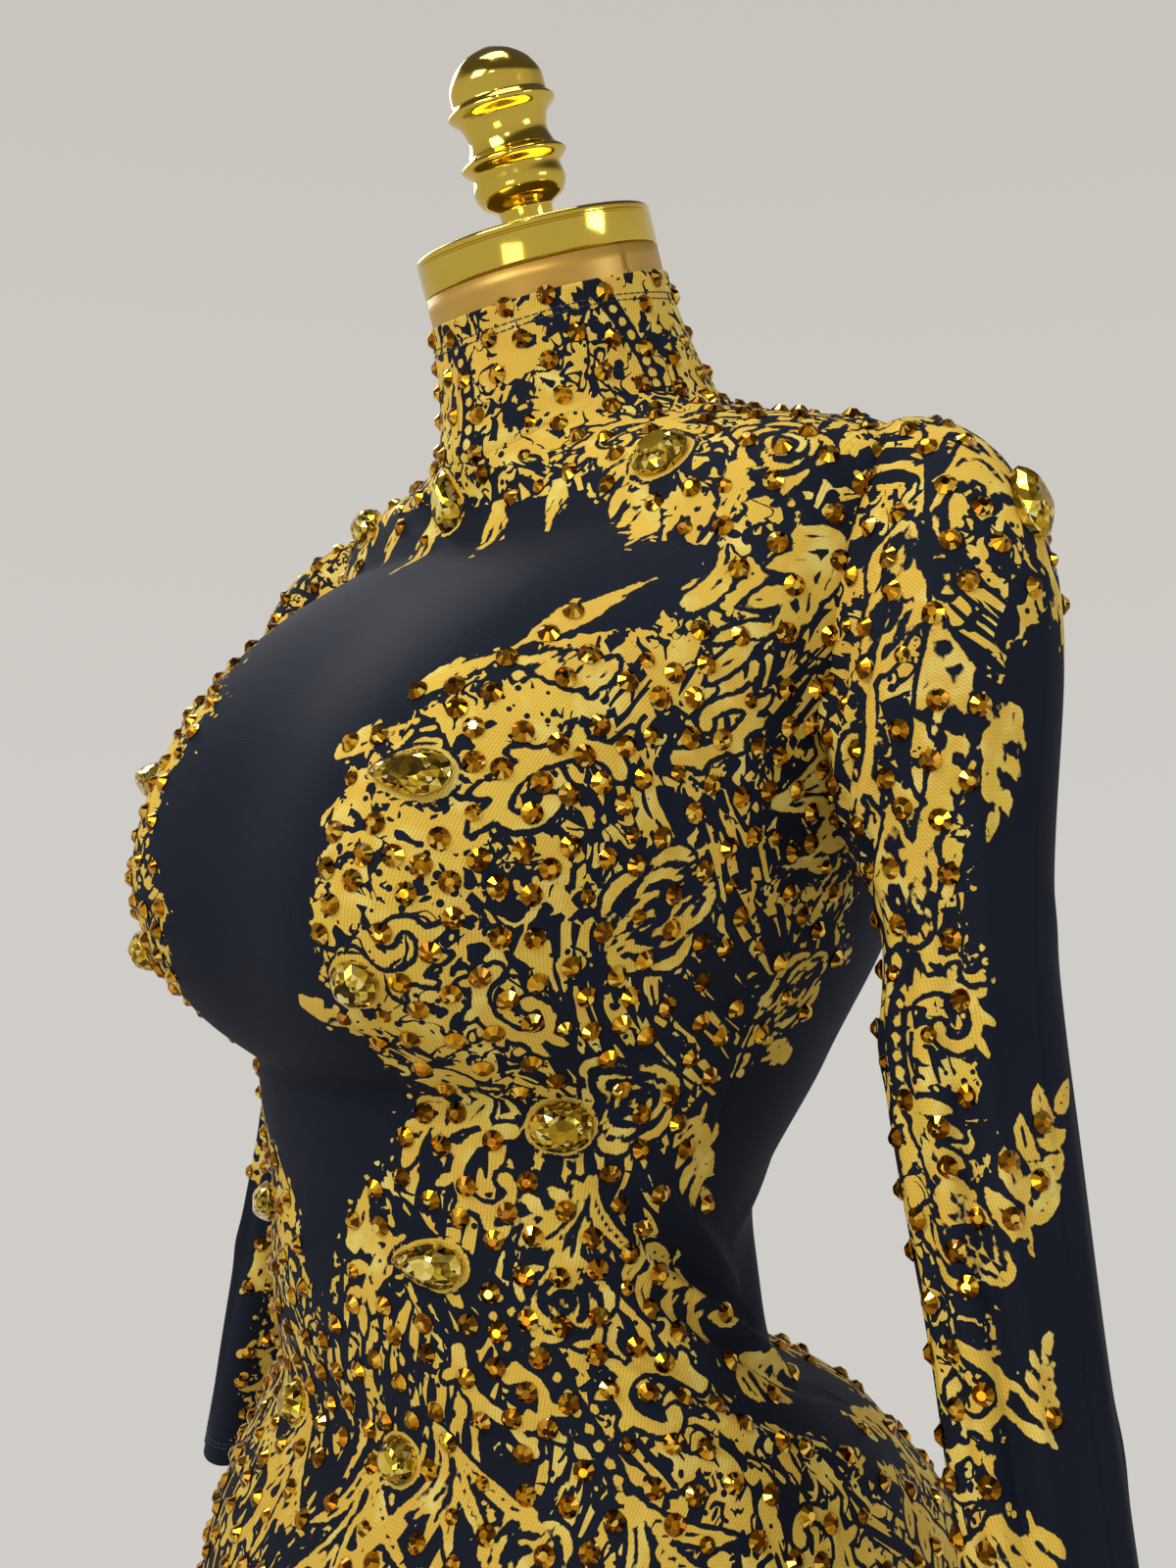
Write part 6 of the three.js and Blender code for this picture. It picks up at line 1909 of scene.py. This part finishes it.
# ------------------------------------------------------------------ large stones
class LargeStones:
    """Cut stones with a table, star and kite facets, glued on the cloth."""

    # Height, size and turn in steps of each ring of corners.
    rings = ((0.0, 0.94, 0.0), (0.14, 1.0, 0.0), (0.24, 0.98, 0.5), (0.6, 0.8, 0.0), (0.88, 0.6, 0.5),
             (1.0, 0.45, 0.0))
    sides = 16
    sunk = 0.9          # mm that the back lies in the cloth, and the girdle stands out of it
    clear = 5.5         # mm round a stone without strass

    def __init__(self, suit: Jumpsuit) -> None:
        """Keeps the cloth."""
        self.suit = suit
        self.rng = np.random.default_rng(5)
        self.places: list[tuple[Array, float]] = []

    def stone(self, shop: Workshop, name: str, cut: StoneCut, chart: Callable, turn: float) -> None:
        """Makes one stone.

        Args:
            shop: the workshop.
            name: CAD node that it stands for.
            cut: outline and height.
            chart: gives cloth points for millimetres across and up.
            turn: degrees, anticlockwise as seen from outside.
        """
        here = chart(0.0, 0.0)
        across, up, normal = tangents(here, chart(0.5, 0.0), chart(0.0, 0.5))
        sides = self.sides
        c, s = math.cos(turn * DEG), math.sin(turn * DEG)
        points = []
        for height, size, shift in self.rings:
            for k in range(sides):
                t = 2 * math.pi * (k + shift) / sides
                taper = 1 - cut.point * ((1 + math.cos(t)) / 2) ** 1.5
                long = cut.long / 2 * size * math.cos(t)
                wide = cut.wide / 2 * size * math.sin(t) * taper
                points.append(here + across * (long * c - wide * s) + up * (long * s + wide * c)
                              + normal * (self.sunk + height * (cut.high - self.sunk) if height > 0
                                          else -self.sunk))
        faces = []
        for r in range(len(self.rings) - 1):
            for k in range(sides):
                a, b = r * sides + k, r * sides + (k + 1) % sides
                d, e = a + sides, b + sides
                late = self.rings[r + 1][2] > self.rings[r][2]
                faces += [(a, b, d), (b, e, d)] if late else [(a, b, e), (a, e, d)]
        top = (len(self.rings) - 1) * sides
        faces.append(tuple(range(top, top + sides)))
        faces.append(tuple(range(sides - 1, -1, -1)))
        piece = shop.piece(f"gem_{name.removeprefix('stone_')}", np.array(points), faces, CRYSTAL,
                           "crystal", False, (name,))
        # A random value on each facet, which picks its painted reflection tone from the ramp.
        tones = self.rng.uniform(0, 1, len(faces)).astype(np.float32)
        piece.data.attributes.new("tone", "FLOAT", "FACE").data.foreach_set("value", tones)
        self.places.append((here, cut.long / 2 + self.clear))

    def build(self, shop: Workshop) -> None:
        """Makes every large stone."""
        for name, cut, degrees, height, turn in trunk_stones():
            a = degrees * DEG
            across, up = stretch(THE_BODY.point, a, height, SMALL_RISE)
            self.stone(shop, name, cut, lambda u, v: THE_BODY.point(a + u / across, height + v / up),
                       turn)
        t, place = SHOULDER_TURN * DEG, SHOULDER_PLACE
        for form in SLEEVES:
            across, up = stretch(form.point, t, place, SMALL_TURN)
            self.stone(shop, f"stone_shoulder_{'left' if form.side > 0 else 'right'}", PEAR,
                       lambda u, v: form.point(t - form.side * u / across, place - v / up), 90)


# ------------------------------------------------------------------ sewing and zip
class Sewing:
    """Twin rows of stitches at the open edges and beside the zip, and the zip's coil."""

    pitch: float = 3.4          # mm from stitch to stitch
    lift: float = 0.12
    drops: tuple[float, float] = (10.0, 12.6)
    collar_rows: tuple[int, int] = (7, 9)
    coil_pitch: float = 1.5

    def __init__(self, suit: Jumpsuit) -> None:
        """Keeps the cloth."""
        self.suit = suit

    def along(self, line: Array, normals: Array, closed: bool) -> tuple:
        """Returns even places, directions and normals along a line."""
        if closed:
            line, normals = np.concatenate([line, line[:1]]), np.concatenate([normals, normals[:1]])
        run = run_along(line)
        at = np.arange(self.pitch / 2, run[-1], self.pitch)
        points, normal = read_along(at, run, line), unit(read_along(at, run, normals))
        return points + normal * self.lift, unit(read_along(at + 0.5, run, line) - points), normal

    def build(self, shop: Workshop) -> None:
        """Makes the stitches and the coil."""
        suit = self.suit
        rows = []
        for canvas in (*suit.sleeves.values(), *suit.legs.values()):
            span = np.linalg.norm(canvas.points[1, 0] - canvas.points[0, 0])
            for drop in self.drops:
                part, i = math.modf(drop / span)
                i = int(i)
                line = canvas.points[i] * (1 - part) + canvas.points[i + 1] * part
                rows.append(self.along(line, canvas.normals[i], True))
        rows += [self.along(suit.collar.points[-1 - k][6:-6], suit.collar.normals[-1 - k][6:-6], False)
                 for k in self.collar_rows]
        above = suit.heights > ZIP_BOTTOM
        for side in (1, -1):
            canvas = suit.backs[side]
            column = -4 if side > 0 else 3
            rows.append(self.along(canvas.points[above, column], canvas.normals[above, column], False))
        points, ahead, normal = (np.concatenate(v) for v in zip(*rows))
        SetPieces(Item.STITCH).make(shop, "stitches", points, normal, ahead, (0.55, 2.5, 0.5), THREAD,
                                    "stretch_knit")
        heights = np.r_[suit.heights[suit.heights > ZIP_BOTTOM + 4], suit.collar_heights[1:-5]]
        line = THE_BODY.point(np.full(len(heights), math.pi), heights)
        normal = unit(np.cross(np.tile((-1.0, 0, 0), (len(line), 1)), np.gradient(line, axis=0)))
        run = run_along(line)
        at = np.arange(1, run[-1] - 16, self.coil_pitch)
        teeth = []
        for offset, shift in ((0.75, 0.0), (-0.75, 0.75)):
            place = read_along(at + shift, run, line)
            out = unit(read_along(at, run, normal))
            teeth.append((place + np.array((offset, 0, 0)) + out * 0.45, out))
        points, normal = (np.concatenate(v) for v in zip(*teeth))
        across = np.tile((1.0, 0, 0), (len(points), 1))
        SetPieces(Item.TOOTH).make(shop, "zip_coil", points, normal, across, (0.95, 2.3, 0.9), COIL,
                                   "zip_tape")


# ------------------------------------------------------------------ dress form and stand
@dataclass
class DressForm:
    """Limbless form, its neck cap and finial, and the stand in one trouser leg."""

    shop: Workshop
    inset: float = 1.7
    bottom: float = 805
    cap_radius: float = 52.5
    cap_height: float = 17
    cap_lift: float = 13
    finial: tuple[tuple[float, float], ...] = (
        (0, 14), (3, 14), (6, 11.5), (11, 12), (15, 18), (21, 20.5), (27, 19.5), (31.5, 23.5),
        (35.5, 19.5), (42, 17.5), (49, 19.5), (53.5, 23.7), (57, 21), (63, 20.8), (70, 17.5),
        (75.5, 11), (78.4, 4))
    finial_height: float = 79
    pole: tuple[float, float, float] = (-97, 14, 12.5)
    base_radius: float = 200
    base_height: float = 12
    joint: float = 0.3          # gap between two pieces of the form or the stand

    def on_axis(self, seat: float) -> Callable:
        """Returns the function that places a turned piece on the neck's axis."""
        lean = THE_BODY.lean
        across, back = np.array((1.0, 0, 0)), np.array((0, math.cos(lean), math.sin(lean)))
        up = np.array((0, -math.sin(lean), math.cos(lean)))
        origin = THE_BODY.circle(np.array(0.0), 0, seat)

        def place(xy: Array, height: Array) -> Array:
            """Returns the points."""
            return origin + xy[:, :1] * across + xy[:, 1:] * back + height[:, None] * up
        return place

    def upright(self, x: float, y: float) -> Callable:
        """Returns the function that places a turned piece on a vertical axis."""
        def place(xy: Array, height: Array) -> Array:
            """Returns the points."""
            return np.stack([x + xy[:, 0], y + xy[:, 1], height], 1)
        return place

    def turned(self, name: str, outline: list[tuple[float, float]], sides: int, place: Callable,
               look: object, slot: str) -> None:
        """Makes a turned piece that stands for the CAD node of the same name."""
        points, faces = self.shop.lathe(outline, sides, place)
        piece = self.shop.piece(f"dressed_{name}", points, faces, look, slot, True, (name,))
        piece.data.set_sharp_from_angle(angle=40 * DEG)

    def body(self) -> None:
        """Makes the form's body and neck, just inside the cloth."""
        columns = 40
        heights = np.concatenate([np.linspace(808, ARMHOLE.bottom, 76)[:-1],
                                  ARMHOLE.place(np.linspace(math.pi, 0, 18))[1],
                                  np.linspace(ARMHOLE.top, NECK_SEAM, 16)[1:],
                                  np.linspace(NECK_SEAM, COLLAR_TOP, 16)[1:]])
        share = np.arange(columns + 1) / columns
        front, back = (ARMHOLE.side(heights, edge)[:, None] for edge in (-1, 1))
        half = np.concatenate([front * share, back + (math.pi - back) * share], 1)
        angles = np.concatenate([half, -half[:, ::-1][:, 1:-1]], 1)
        level = np.broadcast_to(heights[:, None], angles.shape)
        points = THE_BODY.point(angles, level)
        depth = self.inset + np.interp(level, (NECK_SEAM - 40, NECK_SEAM + 10), (4.0, 0.0))
        # The drag folds of the waist dip inwards, so the form stays further back behind them.
        depth = depth + np.interp(level, (915, 945, 1105, 1135), (0.0, 4.2, 4.2, 0.0))
        points = points - ring_normals(points) * depth[..., None]
        neck = [THE_BODY.circle(angles[-1], THE_BODY.collar_radius - self.inset, h)
                for h in (3, 7, self.cap_lift - self.joint)]
        foot = points[0] * (0.985, 0.985, 1)
        foot[:, 2] = self.bottom
        rows = np.concatenate([foot[None], points, np.stack(neck)])
        ends = np.stack([np.array((0, 0, self.bottom)),
                         THE_BODY.circle(np.array(0.0), 0, self.cap_lift - self.joint)])
        self.shop.piece("dressed_form", np.concatenate([rows.reshape(-1, 3), ends]),
                        capped_tube(len(rows), points.shape[1]), FORM_SKIN, "form_skin", True,
                        ("form_body",))

    def build(self) -> None:
        """Makes every piece of the form and the stand."""
        gold = Plated()
        self.body()
        r, h, e = self.cap_radius, self.cap_height, 1.2
        cap = [(0.5, 0), (r - 2.2, 0), (r - e, 0.2), (r - 0.3, e * 0.6), (r, e + 0.3), (r, h - 4.2),
               (r - 0.7, h - 3.7), (r - 0.7, h - 3.2), (r, h - 2.7), (r, h - e - 0.2),
               (r - 0.3, h - e * 0.5), (r - e, h), (r - 9, h), (r - 10, h - 0.5), (0.5, h - 0.5)]
        self.turned("form_cap", cap, 128, self.on_axis(self.cap_lift), gold, "gold_plate")
        heights = np.array([p[0] for p in self.finial])
        radii = Table(self.finial)
        fine = np.unique(np.concatenate([np.linspace(heights[0], heights[-1], 90), heights]))
        outline = [(0.5, 0.0), *((float(radii(v)[0]), float(v)) for v in fine),
                   (0.5, self.finial_height)]
        self.turned("form_finial", outline, 72, self.on_axis(self.cap_lift + h + self.joint), gold,
                    "gold_plate")
        b, t = self.base_radius, self.base_height
        base = [(0.5, 0), (b - 4, 0), (b - 1.2, 1.2), (b, 4), (b, t - 4), (b - 1.2, t - 1.2),
                (b - 4, t), (0.5, t)]
        self.turned("stand_base", base, 160, self.upright(0, BASE_Y), STEEL, "steel")
        x, y, p = self.pole
        foot, top = t + self.joint, self.bottom - self.joint
        self.turned("stand_pole", [(0.5, foot), (p, foot), (p, top), (0.5, top)], 48,
                    self.upright(x, y), STEEL, "steel")
        self.flange(x, y, p, foot)

    def flange(self, x: float, y: float, pole: float, foot: float) -> None:
        """Makes the ring that holds the pole on the base."""
        sides = 72
        bore = pole + self.joint
        outline = [(bore, foot), (34, foot), (34, foot + 4.2), (33, foot + 5), (pole + 6, foot + 11),
                   (pole + 4, foot + 14), (bore, foot + 14)]
        t = np.arange(sides) * 2 * math.pi / sides
        points = np.concatenate([np.stack([x + r * np.cos(t), y + r * np.sin(t), 0 * t + h], 1)
                                 for r, h in outline])
        faces = tube(len(outline), sides, True)
        piece = self.shop.piece("dressed_flange", points, faces, STEEL, "steel", True,
                                ("stand_flange",))
        piece.data.set_sharp_from_angle(angle=35 * DEG)


# ------------------------------------------------------------------ studio
@dataclass(frozen=True)
class Studio:
    """Camera, lamps, floor and a pale surround."""

    azimuth: float = 49.8 * DEG
    elevation: float = -2.0 * DEG
    roll: float = 1.3 * DEG
    distance: float = 0.705
    target: tuple[float, float, float] = (0, 0, 1226)

    def axes(self) -> tuple[Array, Array, Array]:
        """Returns the camera's right, up and backward directions."""
        az, el, roll = self.azimuth, self.elevation, self.roll
        back = np.array((math.sin(az) * math.cos(el), -math.cos(az) * math.cos(el), math.sin(el)))
        right = unit(np.cross((0, 0, 1.0), back))
        up = np.cross(back, right)
        return (right * math.cos(roll) + up * math.sin(roll),
                up * math.cos(roll) - right * math.sin(roll), back)

    def build(self, shop: Workshop) -> None:
        """Makes the camera, the lamps and the stage."""
        right, up, back = self.axes()
        target = shop.metres(np.array(self.target))
        data = bpy.data.cameras.new("camera")
        data.lens = 36
        data.sensor_width = 36
        data.clip_start = 0.02
        camera = new_object("camera", data)
        matrix = Matrix.Identity(4)
        for i, axis in enumerate((right, up, back, target + back * self.distance)):
            for j in range(3):
                matrix[j][i] = axis[j]
        camera.matrix_world = matrix
        bpy.context.scene.camera = camera
        level = unit(np.array((back[0], back[1], 0)))
        side = np.cross((0, 0, 1.0), level)
        lamps = (("key", 1.0 * level - 1.1 * side + np.array((0, 0, 1.1)), 0.7, 17, "#FFFBF4"),
                 ("top", 0.1 * level - 0.2 * side + np.array((0, 0, 1.5)), 0.6, 8, "#FFFFFF"),
                 ("side", 0.9 * level + 1.4 * side + np.array((0, 0, 0.6)), 0.5, 6, "#EDF2FF"),
                 ("far", -1.2 * level - 0.9 * side + np.array((0, 0, 1.1)), 0.7, 7, "#FFFFFF"),
                 ("glint", 1.2 * level - 0.3 * side + np.array((0, 0, 0.9)), 0.08, 3.5, "#FFF4DC"),
                 ("low", 1.6 * level - 0.6 * side - np.array((0, 0, 0.6)), 0.6, 4, "#FFF8EE"))
        for name, offset, size, power, colour in lamps:
            light = bpy.data.lights.new(name, "AREA")
            light.size = size
            light.energy = power
            light.color = linear(colour)[:3]
            lamp = new_object(name, light)
            lamp.location = Vector(target + offset)
            lamp.rotation_euler = Vector(-offset).to_track_quat("-Z", "Y").to_euler()
        self.surroundings()
        self.floor(shop)
        bpy.context.scene.view_settings.view_transform = "Standard"

    def surroundings(self) -> None:
        """Makes the pale room: light walls all round and a dimmer ceiling."""
        world = bpy.data.worlds.new("studio")
        world.use_nodes = True
        tree = world.node_tree
        place = add(tree, "ShaderNodeTexCoord").outputs["Generated"]
        rise = add(tree, "ShaderNodeSeparateXYZ", {}, {0: place}).outputs[2]
        band = add(tree, "ShaderNodeValToRGB", {}, {0: rise})
        fill_ramp(band, ((0.0, "#D5D2CD"), (0.5, "#CDC8C1"), (0.68, "#5E5A56")))
        feed(tree, next(n for n in tree.nodes if n.type == "BACKGROUND"), {0: band, 1: 0.95})
        bpy.context.scene.world = world

    def floor(self, shop: Workshop) -> None:
        """Makes the pale floor."""
        points, faces = shop.lathe([(0.5, -6.0), (1350, -6.0), (1350, -0.5), (0.5, -0.5)], 96,
                                   lambda xy, height: np.concatenate([xy, height[:, None]], 1))
        mesh = bpy.data.meshes.new("floor")
        mesh.from_pydata(shop.metres(points).tolist(), [], faces)
        stage = new_object("floor", mesh)
        mesh.materials.append(shop.finish(Plain("painted_floor", "#E0DDD8", "#DCD9DE", 0.8, 6.0)))


# ------------------------------------------------------------------ order of work
def dress_nodes(shop: Workshop, nodes: dict) -> None:
    """Gives the CAD nodes that stay their finishes."""
    for name, look in (("zip_tape", NYLON), ("zip_slider", Plated()), ("zip_pull", Plated())):
        node = bpy.data.objects.get(name) or nodes[name]
        node.data.materials.clear()
        node.data.materials.append(shop.finish(look))


def main() -> None:
    """Builds the jumpsuit, the form and the studio in order."""
    logging.basicConfig(level=logging.INFO, format="%(name)s: %(message)s")
    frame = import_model()
    shop = Workshop()
    Studio().build(shop)
    suit = Jumpsuit(shop)
    suit.build()
    stones = LargeStones(suit)
    stones.build(shop)
    Strass(suit, stones.places).build(shop)
    Sewing(suit).build(shop)
    DressForm(shop).build()
    dress_nodes(shop, frame["nodes"])
    LOG.info("built")


if __name__ == "__main__":
    main()
